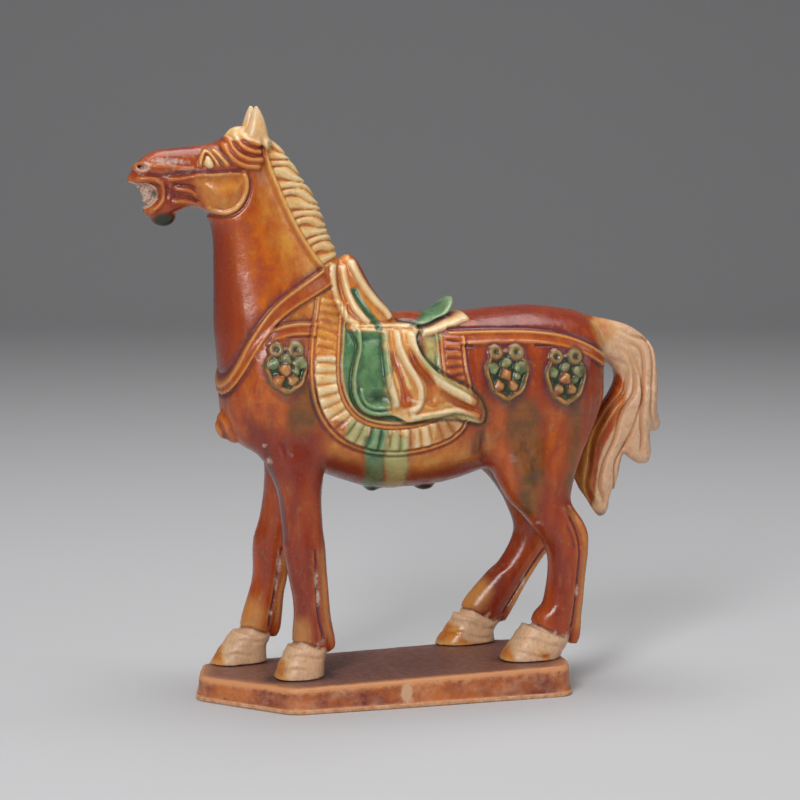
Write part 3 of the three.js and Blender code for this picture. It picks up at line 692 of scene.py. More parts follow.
def strap(flank, half, path):
    """A flat strap with raised light edges and a soft crease outside each, with painted shade in the creases,
    wider on the upper side.
    """
    stroke = Stroke(path, max(half) + 4)
    there = stroke.ends(1)
    width = half[0] + (half[1] - half[0]) * stroke.along / stroke.length
    flat = smoothly(0.5 + (width - stroke.gap) / STRAP_EDGE) * there
    edge = bump(stroke.gap - width + STRAP_EDGE, 1.4 * STRAP_EDGE) * there
    crease = bump(stroke.gap - width - STRAP_EDGE, STRAP_EDGE * 1.3) * there
    flank.clear(stroke, flat)
    flank.lay(stroke, flat, 0.5 * STRAP_HEIGHT + 0 * stroke.gap)
    above = (stroke.side if path[0][0] > path[-1][0] else -stroke.side) < 0
    edge = edge * np.where(above, 1, LOWER_EDGE)
    flank.build(stroke, 0.6 * STRAP_HEIGHT * edge - 0.5 * crease)
    flank.coat(stroke, "orange", 0.85 * flat)
    flank.tint(stroke, "light", 0.4 * edge)
    # painted shade in the creases beside the strap
    shade_and_pooled_glaze = bump(stroke.gap - width - 1, np.where(above, 1.8, 1.1)) * there
    flank.tint(stroke, "dark", np.where(above, 0.62, 0.5) * shade_and_pooled_glaze)
    flank.tint(stroke, "deep", 0.2 * flat * (1 - edge))


# Medallions hang below the straps: a pointed shield with a raised rim, two loops and a bunch of beads

MEDALLIONS = {
    "shoulder": {"middle": (-38.2, 130.8), "half": 8.2, "top": 8.4, "drop": 9.8},
    "haunch": {"middle": (49.6, 126.6), "half": 9.0, "top": 9.6, "drop": 11.0},
    "rump": {"middle": (74.0, 124.4), "half": 9.0, "top": 9.4, "drop": 11.2},
}
MEDALLION_RIM = 1.5
MEDALLION_GROUND = 0.3
# Shares of the half width and of the height from the middle, then radius and height in millimetres
LOOPS = [(-0.46, 0.88, 3.2), (0.46, 0.86, 3.5)]
BEADS = [
    (-0.62, 0.24, 2.5, 1.5, "green"),
    (0.58, 0.24, 2.7, 1.6, "green"),
    (-0.04, 0.42, 2.3, 1.3, "green"),
    (-0.08, -0.02, 2.6, 1.9, "orange"),
    (0.4, -0.1, 1.8, 1.2, "green"),
    (-0.4, -0.42, 2.4, 1.6, "orange"),
    (0.24, -0.42, 2.3, 1.6, "orange"),
]
# How much of a bead its own colour covers, and how much olive lies over that
BEAD_COVERS = {"green": (1, 0.25), "orange": (0.7, 0.1)}


def medallion(flank, middle, half, top, drop):
    corners = np.array([(middle[0] - half, middle[1] - drop), (middle[0] + half, middle[1] + top)])
    window = Window(corners, 3)
    across = (window.x - middle[0]) / half + 0 * window.z
    up = (window.z - middle[1]) / np.where(window.z > middle[1], top, drop) + 0 * window.x
    pointed = np.where(up > 0, 2.6, 1.35)
    full = np.abs(across) ** 2.2 + np.abs(up) ** pointed
    inside = (1 - full) * half * 0.42
    turn = np.arctan2(up, across)
    inside = inside + 0.16 * np.sin(7 * turn)
    plate = smoothly(0.5 + inside / 0.8)
    rim = bump(inside - 0.8, 0.8)
    flank.lay(window, plate, MEDALLION_GROUND)
    flank.clear(window, plate)
    flank.coat(window, "green", plate)
    # painted shade over the plate's sunken ground within the rim
    flank.tint(window, "thick_glaze_and_shade", 0.8 * plate * smoothly((inside - 0.8) / 1.2))
    flank.build(window, MEDALLION_RIM * rim)
    flank.coat(window, "olive", rim)
    flank.coat(window, "amber", 0.55 * rim * smoothly(0.6 + 0.9 * np.sin(5 * turn + middle[0])))
    flank.build(window, -0.4 * bump(inside + 0.6, 0.7))
    # painted shade round the plate's outline
    flank.tint(window, "dark", 0.6 * bump(inside + 0.8, 1.2))
    for share, rise, radius in LOOPS:
        gap = np.hypot(window.x - middle[0] - share * half, window.z - middle[1] - rise * top)
        disc = smoothly(0.5 + (radius - gap) / 0.7)
        ring = bump(gap - radius * 0.6, radius * 0.5)
        flank.lay(window, disc, 0.5)
        flank.build(window, 0.9 * ring)
        flank.clear(window, disc)
        flank.coat(window, "green", disc)
        flank.coat(window, "olive", 0.4 * disc)
        swirl = smoothly(0.5 + np.sin(turn * 2 + 1.4 * gap + middle[0]))
        flank.coat(window, "olive", 0.8 * bump(gap - radius * 0.8, radius * 0.35) * swirl)
        # painted shade in each loop's hollow middle and round its outside
        flank.tint(window, "thick_glaze_and_shade", 0.8 * bump(gap, radius * 0.36))
        flank.tint(window, "dark", 0.55 * bump(gap - radius * 1.1, 0.8))
    slant = 0.14 * np.sin(1.3 * window.x + 0.7 * window.z) + 0.1 * np.sin(1.7 * window.z - 0.9 * window.x)
    for share, rise, radius, height, colour in BEADS:
        reach = top if rise > 0 else drop
        gap = np.hypot(window.x - middle[0] - share * half, window.z - middle[1] - rise * reach)
        gap = gap * (1 - 0.5 * slant)
        ball = np.sqrt(np.clip(1 - (gap / radius) ** 2, 0, 1)) * (1 + slant)
        disc = smoothly(0.5 + (radius - gap) / 0.6)
        flank.height[window.part] = np.maximum(flank.height[window.part], MEDALLION_GROUND + height * ball)
        own_cover, olive_cover = BEAD_COVERS[colour]
        flank.coat(window, colour, own_cover * disc)
        flank.coat(window, "olive", olive_cover * disc)
        flank.clear(window, 0.92 * disc)
        # painted shade round the foot of each bead
        flank.tint(window, "thick_glaze_and_shade", 0.7 * bump(gap - radius, 0.6))


# The blanket's fringe runs down the front, below the saddle cloth and up behind

FRINGE = [
    (-17.8, 157), (-19.4, 149), (-21.6, 141), (-23.2, 133), (-23.2, 124), (-20.9, 115.8), (-16.4, 109.4),
    (-11, 105.6), (-4.6, 103.4), (3.4, 102.5), (11.4, 103), (19.5, 104.8), (26, 108), (29.4, 113.4),
    (29.6, 120), (28.2, 128), (28, 136), (28.8, 142.4),
]
FRINGE_HALF = (4.1, 3.4)         # half width in front and behind
FRINGE_NARROWS = 90              # along the fringe, where it starts to narrow
PLEAT = 4.1
PLEAT_SEED = 11
PLEAT_COUNT = 80
PLEAT_HEIGHTS = (0.75, 1.2)      # least and most, as shares
STRIPE_START = 104               # along the fringe, where pleats become flat stripes
STRIPE = 3.2
# Lines along the fringe: how far outside it, or inside it on its other side
OUTER_LINE = 1.3
OUTER_CREASE = 2.6
INNER_LINES = ((0.9, "amber"), (2.6, "pale"))
INNER_CREASE = 1.8
CLOTH_END = 113                  # z of the cloth's lower edge
RUN_OVER = (-17, 6)              # from x to x, where olive ran over the fringe's outer line
# Glazes of the fringe below the cloth, from x to x, and the share that they cover
FRINGE_COATS = [
    (-25, -15, "orange", 0.7),
    (-16.5, -6.5, "pale", 0.9),
    (-7.5, 1.6, "green", 1.0),
    (1.2, 5.4, "pale", 1.0),
    (7, 13, "orange", 0.45),
    (18, 32, "amber", 0.6),
]


def blanket(flank):
    stroke = Stroke(FRINGE, 9)
    narrowed = smoothly((stroke.along - FRINGE_NARROWS) / 15)
    half = FRINGE_HALF[0] + (FRINGE_HALF[1] - FRINGE_HALF[0]) * narrowed
    there = stroke.ends(1.5)
    below = smoothly((CLOTH_END - stroke.z) / 3)
    off = -stroke.side * stroke.gap
    behind = smoothly((stroke.along - STRIPE_START) / 4)
    upper = smoothly((stroke.z - 134) / 3 + 0 * stroke.x) * (1 - behind)
    striped = np.maximum(behind, upper)
    uneven = np.random.default_rng(PLEAT_SEED).uniform(*PLEAT_HEIGHTS, PLEAT_COUNT)
    lump = uneven[(stroke.along / PLEAT).astype(int)]
    pleats = np.abs(np.sin(math.pi * stroke.along / PLEAT)) ** 0.55
    stripes = np.abs(np.sin(math.pi * stroke.along / STRIPE)) ** 0.8
    tongue = 1 - 0.6 * smoothly((off - half * 0.3) / half) * (1 - pleats)
    swell = pleats * lump * tongue * (1 - striped) + 0.45 * stripes * striped
    band = smoothly(0.5 + (half - stroke.gap) / 0.8) * there
    flank.clear(stroke, smoothly(0.5 + (half + 3 - stroke.gap) / 0.8) * there)
    flank.lay(stroke, band, 0.4 + 1.3 * swell)
    seam = (1 - np.where(striped > 0.5, stripes, pleats)) ** 1.5 * band
    flank.coat(stroke, "cream", band * (1 - striped))
    flank.coat(stroke, "amber", band * upper)
    flank.coat(stroke, "brown", band * behind)
    flank.coat(stroke, "orange", 0.75 * band * behind * stripes)
    for start, end, name, share in FRINGE_COATS:
        flank.coat(stroke, name, share * (between(stroke.x, start, end, 2) * below) * band)
    # painted shade in the seams between pleats and stripes
    flank.tint(stroke, "dark", seam * (0.15 + 0.4 * behind))
    outer = bump(off - half - OUTER_LINE, 0.9) * there
    crease = 0.5 * bump(off - half - OUTER_CREASE, 0.8) * there
    run_over = between(stroke.x, *RUN_OVER, 3) * below
    flank.build(stroke, 0.8 * outer - crease)
    flank.coat(stroke, "orange", 0.8 * outer)
    flank.coat(stroke, "olive", 0.75 * outer * run_over)
    flank.tint(stroke, "light", 0.35 * outer * (1 - run_over))
    # painted shade in the crease outside the outer line
    flank.tint(stroke, "dark", crease)
    for place, name in INNER_LINES:
        line = bump(off + half + place, 0.9) * there
        flank.build(stroke, 0.8 * line)
        flank.coat(stroke, name, 0.9 * line * (1 - behind) + 0.7 * line * behind)
        flank.tint(stroke, "light", 0.35 * line)
    # painted shade in the crease between the inner lines
    flank.tint(stroke, "dark", 0.3 * bump(off + half + INNER_CREASE, 0.5) * there)


# The saddle cloth hangs in folds and sweeps back to a flying corner

CLOTH = [
    (-11.5, 146), (-9, 138.8), (-11.4, 132.4), (-13, 125.9), (-12.6, 119.4), (-9.6, 114.2), (-4, 112),
    (2.5, 112.2), (8.4, 109.6), (14, 110), (20.7, 110.6), (28, 110.6), (34.5, 108.6), (38.8, 107.8),
    (40.2, 111), (38.9, 115.7), (36, 119.4), (31.9, 122.2), (25.5, 125.4), (19.6, 129.2), (15.2, 134.4),
    (13.4, 140), (14.6, 146),
]
# Each fold's half width, height and line, and for valleys the depth
CLOTH_FOLDS = [
    (1.2, 1.3, [(-8, 145.4), (-8.9, 138.8), (-11.1, 132.4), (-12.6, 125.9), (-12, 119.8), (-9, 115),
                (-3.8, 113), (2.5, 113.4)]),
    (0.9, 0.8, [(-9.4, 124), (-9.6, 120.4), (-7.8, 117), (-3.6, 115.2), (2.2, 115.6)]),
    (2.1, 2.1, [(2.2, 145), (1.2, 138.6), (1, 132.1), (1.2, 126.3), (2.6, 120.5), (4, 114.4)]),
    (2.0, 2.3, [(7, 145), (6.4, 139.4), (8.2, 132.8), (11.2, 127.2), (13.4, 121.9), (12.6, 115.8),
                (8.4, 113)]),
    (2.5, 2.1, [(12.2, 144.5), (12.4, 138.6), (14.4, 133), (18.6, 127.6), (24.4, 122.6), (31, 118.8),
                (36.6, 115)]),
    (1.9, 1.7, [(38.4, 109.6), (33.6, 112.4), (27.4, 113.4), (20.7, 112.2), (14, 111.4), (8.6, 111.2)]),
    (1.3, 1.0, [(8.6, 118.6), (10.8, 117.4), (12.6, 118.4)]),
]
CLOTH_VALLEYS = [
    (1.9, 0.8, [(4.4, 142), (4.0, 134), (5.6, 127.6), (7, 121.6), (7.6, 116)]),
    (2.6, 1.1, [(10.2, 139), (12.4, 131.6), (16.4, 126.2), (18.2, 120.4), (16.8, 115)]),
    (2.0, 0.9, [(20.4, 121), (25.4, 117.8), (31, 115), (35.4, 112.4)]),
]
CLOTH_STAINS = [
    ([(33.4, 118.4), (37, 116.4), (38.8, 112.6), (37.8, 109.4), (34.8, 111), (33.6, 114)], "orange"),
    ([(6, 122), (9.6, 121), (10, 116), (6.6, 114.4), (4.8, 117)], "orange"),
    ([(17, 124), (22, 121.4), (24, 117), (19, 114.6), (15.6, 117)], "amber"),
]
# The blanket within the fringe, and the glazes that ran over it behind the cloth
BLANKET_FIELD = [
    (-14, 146), (-15.8, 139), (-17.2, 131.8), (-16.4, 124), (-13.6, 117.4), (-9, 113), (-3, 111),
    (10, 110), (20, 118), (22, 127), (21.8, 137), (22.4, 146),
]
REAR_STAINS = [
    ([(14, 145), (20.6, 145), (21.4, 136), (19, 130), (15, 134)], "pale"),
    ([(13.4, 145), (16, 145), (17, 137), (14.6, 134)], "olive"),
]
POCKET = (-3.2, 119.4)
POCKET_SIZE = (5.4, 3.4)
CLOTH_HEIGHT = 1.0
STAIN_SHARE = 0.9


def saddle_cloth(flank):
    flank.pour(BLANKET_FIELD, "green", 1.5)
    for outline, name in REAR_STAINS:
        flank.pour(outline, name, 3, STAIN_SHARE)
    cloth = Area(CLOTH, 4)
    over = cloth.cover(0.8)
    flank.lay(cloth, over, CLOTH_HEIGHT + 0 * cloth.gap)
    flank.build(cloth, -0.4 * bump(cloth.inside + 0.8, 0.8))
    # painted shadow just outside the cloth's edge, stronger behind
    behind = smoothly((cloth.x - 2) / 6)
    flank.tint(cloth, "thick_glaze_and_shade", (0.2 + 0.55 * behind) * bump(cloth.inside + 1, 1.2))
    flank.clear(cloth, over)
    flank.coat(cloth, "cream", over)
    flank.coat(cloth, "pale", over * bump(cloth.inside - 0.8, 1.8) * smoothly((cloth.x - 12) / 3))
    ran = cloth.x - 1.6 - 0.06 * (cloth.z - 130) + 0.9 * np.sin(0.42 * cloth.z) + 0.5 * np.sin(1.1 * cloth.z)
    flank.coat(cloth, "pale", over * smoothly((1.6 - ran) / 2))
    flank.coat(cloth, "green", over * smoothly(-ran / 2.4))
    for half, depth, path in CLOTH_VALLEYS:
        stroke = Stroke(path, half * 2)
        shape = stroke.swell(half, 3)
        flank.build(stroke, -depth * shape)
        lower = smoothly((140 - stroke.z) / 10)
        flank.coat(stroke, "amber", lower * shape**0.5)
        flank.coat(stroke, "orange", 0.7 * lower * shape)
    for fold in CLOTH_FOLDS:
        flank.ridge(*fold)
    for outline, name in CLOTH_STAINS:
        flank.pour(outline, name, 3, STAIN_SHARE)
    window = Window(np.array([POCKET]), max(POCKET_SIZE) * 1.6)
    hollow = np.hypot((window.x - POCKET[0]) / POCKET_SIZE[0], (window.z - POCKET[1]) / POCKET_SIZE[1])
    flank.build(window, -1.9 * bump(hollow, 1.2))
    # painted shade in the pocket's hollow
    flank.tint(window, "thick_glaze_and_shade", 0.35 * bump(hollow, 1))


# The saddle's pommel and cantle

POMMEL_SIDE = [
    (-16.6, 171), (-16.6, 160), (-13.6, 150), (-9, 145.4), (7, 145.6), (7.4, 149), (1, 156.4), (-4, 163.4),
    (-7, 170), (-9.4, 173),
]
# Here as in all tables of ridges: half width, height and line of each
POMMEL_RIDGES = [
    (2.3, 1.5, [(-15.6, 170.6), (-16.2, 166), (-15.6, 159), (-13.4, 152), (-10.6, 147.6), (-6.6, 145.6)]),
    (2.1, 1.3, [(-11.6, 169.6), (-11.6, 165.2), (-10.7, 159.4), (-8.9, 153.6), (-5.8, 149.3), (-2.6, 146.1)]),
    (2.6, 1.4, [(-8.6, 171.6), (-6.8, 167), (-3.9, 161.4), (0.4, 155.4), (4.6, 151), (6.6, 147.4)]),
]
POMMEL_STRIPE = [(-8.6, 160.6), (-6.2, 155.2), (-3.4, 150.5), (-0.6, 147), (0.4, 143.6)]
SEAT_SEAM = [(-13, 146.2), (-5.8, 145.4), (1.2, 145.1), (7.9, 144.8), (15.2, 144.2)]
CANTLE_CREASE = [(14, 144.6), (20, 145.4), (26.3, 147.6), (31, 149.6), (35.2, 151)]
CANTLE_LEAF = [
    (12.6, 145.4), (19.8, 148.8), (26.4, 152.8), (31, 155.6), (35, 156), (35.2, 151.4), (31, 149.4),
    (26.3, 147.4), (20, 145.2),
]
CANTLE_ROLL = [(15.8, 142.8), (22, 144), (29.2, 146), (35, 147.8), (38.6, 148.6)]


def saddle(flank):
    side = flank.pour(POMMEL_SIDE, "amber", 1.5)
    flank.clear(side, side.cover(1.5))
    for ridge in POMMEL_RIDGES:
        flank.ridge(*ridge, coat="cream")
    seam = Stroke(SEAT_SEAM, 4)
    flank.coat(seam, "cream", seam.swell(2.8, 1))
    stripe = Stroke(POMMEL_STRIPE, 4)
    flank.build(stripe, -0.9 * stripe.swell(1.8, 2))
    flank.coat(stripe, "green", smoothly(0.5 + (1.4 - stripe.gap) / 1.2) * stripe.ends(1))
    flank.groove(half=0.5, depth=0.5, points=SEAT_SEAM, dark=0.3)
    leaf = flank.pour(CANTLE_LEAF, "green", 1)
    # painted shade along the foot of the leaf's raised border
    flank.tint(leaf, "thick_glaze_and_shade", 0.4 * bump(leaf.inside - 0.2, 1))
    flank.build(leaf, 0.5 * smoothly(leaf.inside / 1.6))
    roll = flank.ridge(half=2.1, height=1.2, points=CANTLE_ROLL)
    flank.coat(roll, "cream", roll.swell(2.8, 1))
    # the cantle's crease and the seat seam carry painted shade
    flank.groove(half=0.8, depth=0.9, points=CANTLE_CREASE, dark=0.85)


# Head

HEAD_RIDGES = [
    (1.3, 0.8, [(-87.4, 207.4), (-82.3, 207.4), (-77.4, 206.8), (-73, 206.3), (-69, 206.6)]),
    (1.1, 0.8, [(-81, 202.4), (-76.1, 202.5), (-71.2, 203.3), (-68, 203.9), (-63, 204), (-57, 204.4),
                (-52, 204.4)]),
    (0.9, 0.6, [(-79.6, 202), (-79, 199), (-79.2, 194.4)]),
    (1.2, 0.9, [(-78.6, 198.6), (-74.6, 198.4), (-71, 197.6), (-68.6, 195.4)]),
    (1.1, 0.8, [(-78.6, 193.6), (-74.5, 194), (-69.9, 193.2), (-65.7, 191.7)]),
]
# Here as in all tables of grooves: half width, depth and line of each
HEAD_GROOVES = [
    (1.1, 0.65, [(-88.6, 204.2), (-86.3, 204.3), (-82.9, 204), (-77.4, 204.5), (-72.4, 205.2), (-68.1, 205.5),
                 (-63, 205.3), (-56.8, 205.6), (-50.6, 205.9)]),
    (0.8, 0.8, [(-78.6, 200.5), (-74.8, 200.3), (-71.1, 199.8), (-69, 197.6)]),
    (0.8, 0.7, [(-78.4, 196.4), (-74.6, 196), (-70.8, 195.2), (-67.4, 193.3)]),
]
MOUTH_HOLE = [
    (-96, 202.2), (-91, 200.9), (-87.8, 201), (-84.8, 199.8), (-83.6, 197), (-84.4, 194), (-86.8, 192),
    (-90, 190.8), (-94, 192), (-97, 197),
]
MOUTH_CORNER = (-84.4, 197.2)
TEETH = [
    (-92.2, 199.6), (-90.4, 199.4), (-88.6, 199.2), (-86.9, 198.4), (-89.6, 193.2), (-88, 194.2),
    (-86.4, 195.4),
]
TOOTH = 1.0
LIPS = [
    (-92.6, 202.4), (-87.4, 202.6), (-83.4, 201.6), (-81.4, 198.6), (-81.8, 194.8), (-84, 191.8),
    (-87.4, 189.8),
]
CHEEK = [
    (-70.4, 203.2), (-68.4, 197), (-65, 192), (-61.6, 189.2), (-58.4, 188.4), (-54.8, 189.8), (-51.7, 192.8),
    (-49.6, 197), (-49.2, 201.2), (-50.6, 204.4), (-57, 204.2), (-64, 203.8),
]
CHEEK_RIM = [
    (-50.4, 206), (-49.2, 202.4), (-49.2, 198.4), (-50.8, 193.8), (-54.2, 190), (-58.6, 188.4), (-63, 189.2),
    (-66.4, 191.4),
]
CHEEK_START = 1.5                # inside its outline the cheek starts to swell
EYE = [(-66.6, 208), (-66, 210), (-65, 211.2), (-63.9, 210.2), (-63, 208.2), (-63.4, 206.9), (-65, 206.6)]
EYELIDS = [
    (0.95, 1.0, [(-68, 206.6), (-67.6, 209.8), (-65.6, 213.2), (-63.6, 211.6), (-61.8, 208.8),
                 (-60.8, 206.6)]),
    (1.3, 0.9, [(-63.6, 214.4), (-61.2, 212), (-58.8, 209.2), (-57, 206.8)]),
]
NOSTRIL = (-89.4, 207)
NOSTRIL_SIZE = (1.7, 1.1)
FORELOCK = [
    (1.8, 1.7, [(-58.6, 217.2), (-57.8, 213.4), (-55, 209.6), (-51.2, 207.6), (-46.6, 207), (-43.6, 207.4)]),
    (1.8, 1.8, [(-56.2, 219.2), (-55.8, 215), (-53.2, 211.6), (-49.4, 209.9), (-45.4, 209.5), (-42, 209.9)]),
    (1.7, 1.6, [(-54, 220.4), (-52.8, 216.4), (-50, 213.8), (-46.4, 212.7), (-42.4, 212.8)]),
    (1.6, 0.9, [(-51.6, 220.6), (-49.6, 217.6), (-46.6, 216), (-43, 215.4)]),
]
TUFT = [(-57, 219), (-54, 222), (-50, 224), (-46, 222), (-47, 218), (-51, 217.6), (-55, 217)]


def mouth(flank):
    """The open mouth with its rough teeth and the ridge of the lips round its corner."""
    hole = Area(MOUTH_HOLE, 3)
    flank.build(hole, -1.5 * smoothly(hole.inside / 1.2))
    flank.coat(hole, "cream", hole.cover(0.8))
    flank.tint(hole, "bare", 0.75 * hole.cover(0.8))
    rough = 0.5 + 0.5 * np.sin(3.7 * hole.x + 1.3 * hole.z) * np.sin(3.1 * hole.z - 1.1 * hole.x)
    flank.build(hole, 0.8 * rough * hole.cover(1))
    off_corner = np.hypot(hole.x - MOUTH_CORNER[0], hole.z - MOUTH_CORNER[1])
    # painted shade deep in the mouth and at its corner
    shaded = 0.55 * smoothly(2.5 * (0.4 - rough)) + 0.85 * bump(off_corner, 2.6)
    flank.tint(hole, "thick_glaze_and_shade", np.minimum(shaded, 0.9) * hole.cover(1))
    for place in TEETH:
        window = Window(np.array([place]), TOOTH * 1.2)
        flank.build(window, 1.2 * bump(np.hypot(window.x - place[0], window.z - place[1]), TOOTH))
    flank.ridge(half=1.6, height=1.4, points=LIPS)


def cheek(flank):
    """The round cheek and the rim of its plate."""
    plate = flank.pour(CHEEK, "amber", 4, 0.8)
    deep = plate.inside - CHEEK_START
    flank.build(plate, 1.7 * np.sqrt(np.clip(deep / 7.5, 0, 1)) * smoothly(deep / 4))
    rim = Stroke(CHEEK_RIM, 4)
    inward = -rim.side * rim.gap
    flank.build(rim, (0.9 * bump(inward - 1.2, 1.3) - 0.9 * bump(inward + 0.4, 1.0)) * rim.ends(2))
    flank.tint(rim, "light", 0.4 * bump(inward - 1.2, 1.0) * rim.ends(2))
    # painted shade in the groove outside the rim
    flank.tint(rim, "dark", 0.35 * bump(inward + 0.4, 1.1) * rim.ends(2))


def eye(flank):
    for lid in EYELIDS:
        flank.ridge(*lid, coat="amber", groove=0.15)
    ball = Area(EYE, 3)
    flank.lay(ball, ball.cover(0.5), 0.1 + 1.2 * np.sqrt(np.clip(ball.inside / 1.6, 0, 1)))
    flank.coat(ball, "cream", ball.cover(0.6))
    flank.fade(ball, "dark", ball.cover(0.6))
    # painted shade in the crease round the eyeball
    flank.tint(ball, "dark", 0.25 * bump(ball.inside + 0.3, 0.5))


def head(flank):
    for ridge in HEAD_RIDGES:
        flank.ridge(*ridge)
    for groove in HEAD_GROOVES:
        # the head's grooves carry painted shade
        flank.groove(*groove, dark=0.38)
    mouth(flank)
    cheek(flank)
    eye(flank)
    window = Window(np.array([NOSTRIL]), 4)
    hole = np.hypot((window.x - NOSTRIL[0]) / NOSTRIL_SIZE[0], (window.z - NOSTRIL[1]) / NOSTRIL_SIZE[1])
    flank.build(window, 0.9 * bump(hole - 1.4, 0.7) - 1.5 * bump(hole, 1))
    # painted shade inside the nostril
    flank.tint(window, "dark", 0.8 * bump(hole, 1.1))
    for curl in FORELOCK:
        flank.ridge(*curl, coat="orange")
    flank.pour(TUFT, "cream", 2)


# Mane: locks side by side from an inner ridge out to the crest

MANE_EDGE = [
    (-41.8, 219), (-41.8, 213.6), (-40.8, 208), (-38.9, 202.6), (-36.6, 196.4), (-33.8, 190), (-31, 184),
    (-27.8, 178.4), (-24, 172.8), (-19.4, 167),
]
MANE_WIDTH = 13.0
LOCK = 4.15


def mane(flank):
    stroke = Stroke(MANE_EDGE, MANE_WIDTH)
    outward = stroke.side * stroke.gap
    inside = smoothly(outward / 1.5) * stroke.ends(2)
    curl = 0.1 * outward + 0.012 * (outward - 4) ** 2
    phase = stroke.along / LOCK + 0.22 * np.sin(0.55 * stroke.along) - curl
    lock = np.abs(np.sin(math.pi * phase)) ** 0.7
    hairs = np.abs(np.sin(3 * math.pi * phase + 0.6))
    flank.build(stroke, inside * (lock + 0.2 * hairs - 0.5))
    seam = (1 - lock) ** 1.4 * bump(outward - 3.4, 4.4) * inside
    flank.coat(stroke, "cream", inside)
    flank.coat(stroke, "amber", np.clip(seam * 1.5, 0, 1))
    edge = stroke.swell(1.4, 3)
    flank.build(stroke, edge - 0.5 * bump(outward + 1.8, 1.2) * stroke.ends(3))
    flank.coat(stroke, "amber", edge)


# Tail

# Each groove between strands: its share of the root's breadth, the lock that it runs down, its share of that,
# its half width and its depth
TAIL_STRANDS = [
    (0.16, "inner", 0.2, 1.3, 1.3),
    (0.34, "inner", 0.55, 1.4, 1.5),
    (0.5, "inner", 0.88, 1.0, 1.0),
    (0.66, "middle", 0.55, 1.4, 1.4),
    (0.84, "outer", 0.4, 1.2, 1.1),
]
STRAND_SWAY = 0.07               # of the breadth, how far the strands sway from side to side
# Outlines of all strands, of the root, and of the side of the inner lock that faces the rump
STRANDS = [
    (90.6, 144.6), (99, 146.4), (112, 143), (122, 134), (126, 118), (126.4, 98), (121, 84), (112, 84),
    (106, 90), (103, 64), (95, 63), (95, 80), (97, 92), (103.6, 104), (106.4, 114), (105.4, 122), (100, 127),
    (94.6, 130.6), (92, 137),
]
TAIL_ROOT = [(89, 145), (98, 147), (103, 143), (101, 137), (96, 133), (91, 132)]
TAIL_FRONT = [
    (103, 121), (103.4, 113), (99.4, 104), (93.4, 94), (91.6, 84), (93.6, 70), (96, 62), (90, 66), (83, 82),
    (82, 90), (90, 104), (98, 113), (100, 120),
]
TAIL_TIP = (97.6, 63.6)


def strand_line(root_share, lock, share):
    """Points down the tail, from the rump along its root and then along a lock."""
    line = []
    for rows, part in ((TAIL["root"][:4], root_share), (TAIL[lock][1:-1], share)):
        for place, row in enumerate(rows):
            swayed = part + STRAND_SWAY * math.sin(2.1 * place + 9 * root_share)
            line.append((row[0] + (row[2] - row[0]) * swayed, row[1] + (row[3] - row[1]) * swayed))
    return line


def tail(flank):
    strands = flank.pour(STRANDS, "cream", 3)
    flank.tint(strands, "biscuit", 0.85 * strands.cover(3) * smoothly((strands.x - 88) / 12))
    root = flank.pour(TAIL_ROOT, "amber", 6, 0.62)
    flank.fade(root, "biscuit", 0.6 * root.cover(6))
    front = flank.pour(TAIL_FRONT, "amber", 2)
    flank.coat(front, "brown", front.cover(2) * smoothly((front.z - 98) / 8))
    flank.fade(front, "biscuit", front.cover(2))
    tip = Window(np.array([TAIL_TIP]), 8)
    flank.tint(tip, "dark", 0.8 * bump(np.hypot(tip.x - TAIL_TIP[0], tip.z - TAIL_TIP[1]), 5))
    for root_share, lock, share, half, depth in TAIL_STRANDS:
        groove = Stroke(strand_line(root_share, lock, share), 2 * half)
        there = smoothly((groove.along - 10) / 26) * smoothly((groove.length - groove.along) / 8)
        flank.build(groove, -depth * bump(groove.gap, half) * there)
        shade_and_pooled_glaze = bump(groove.gap, 1.3 * half) * there
        flank.coat(groove, "amber", 0.6 * shade_and_pooled_glaze)
        flank.fade(groove, "biscuit", 0.45 * shade_and_pooled_glaze)


# Legs: creases beside the cords, and the coronets over the hooves

LEG_CREASES = {
    "near": [
        (0.8, 0.9, [(-27.4, 62), (-27, 55), (-26.5, 43), (-25.8, 34), (-24.2, 26.8), (-24, 22)]),
        (0.8, 0.9, [(75.4, 70.4), (78.6, 64), (80.2, 57), (80, 49.6), (79.5, 42.5), (78.8, 35.3), (77.9, 28),
                    (77, 23.4)]),
        (0.6, 0.5, [(74.4, 66.6), (77, 60.6), (78, 55.6)]),
        # the near fore leg's front edge, darkened with painted shade where it meets the far leg
        (1.0, 0.3, [(-45.6, 103), (-42.9, 92), (-39.8, 82.6), (-38.4, 72), (-37.6, 62)]),
        (0.7, 0.8, [(-36.6, 22.8), (-31.8, 24.4), (-27.4, 22.6), (-23.6, 21)]),
        (0.7, 0.8, [(59.4, 27), (65, 25.4), (70, 22.6), (76, 20.4)]),
    ],
    "far": [
        (0.8, 0.9, [(-31.8, 57), (-33.2, 47), (-34.6, 38), (-36.4, 29), (-37, 23)]),
        (0.8, 0.9, [(84.6, 64), (83.4, 56), (77, 46.4), (71, 37), (65.4, 28.6), (61.6, 22.6)]),
        (0.7, 0.8, [(-50, 22.6), (-45, 24.2), (-40, 22.4), (-36.4, 20.6)]),
        (0.7, 0.8, [(43.6, 25.4), (49, 25.6), (55, 22.4), (60, 20)]),
    ],
}
# The hollows between muscles, each with the darkness of its painted shade last
MUSCLES = [
    (2.6, 0.6, [(-54, 119), (-51.4, 110), (-47, 100.6)], 0.1),
    (2.4, 0.5, [(-45.6, 119), (-43, 110), (-38.6, 101.6), (-36, 94)], 0.15),
    (1.3, 0.6, [(-61.5, 112.4), (-60, 109), (-58.4, 105), (-56.2, 101.4), (-53, 98.4)], 0.6),
    (2.4, 0.8, [(38.6, 108), (41, 98), (43.6, 90)], 0.5),
    (3.2, 0.5, [(57, 104), (59, 92), (62.6, 80)], 0.2),
]
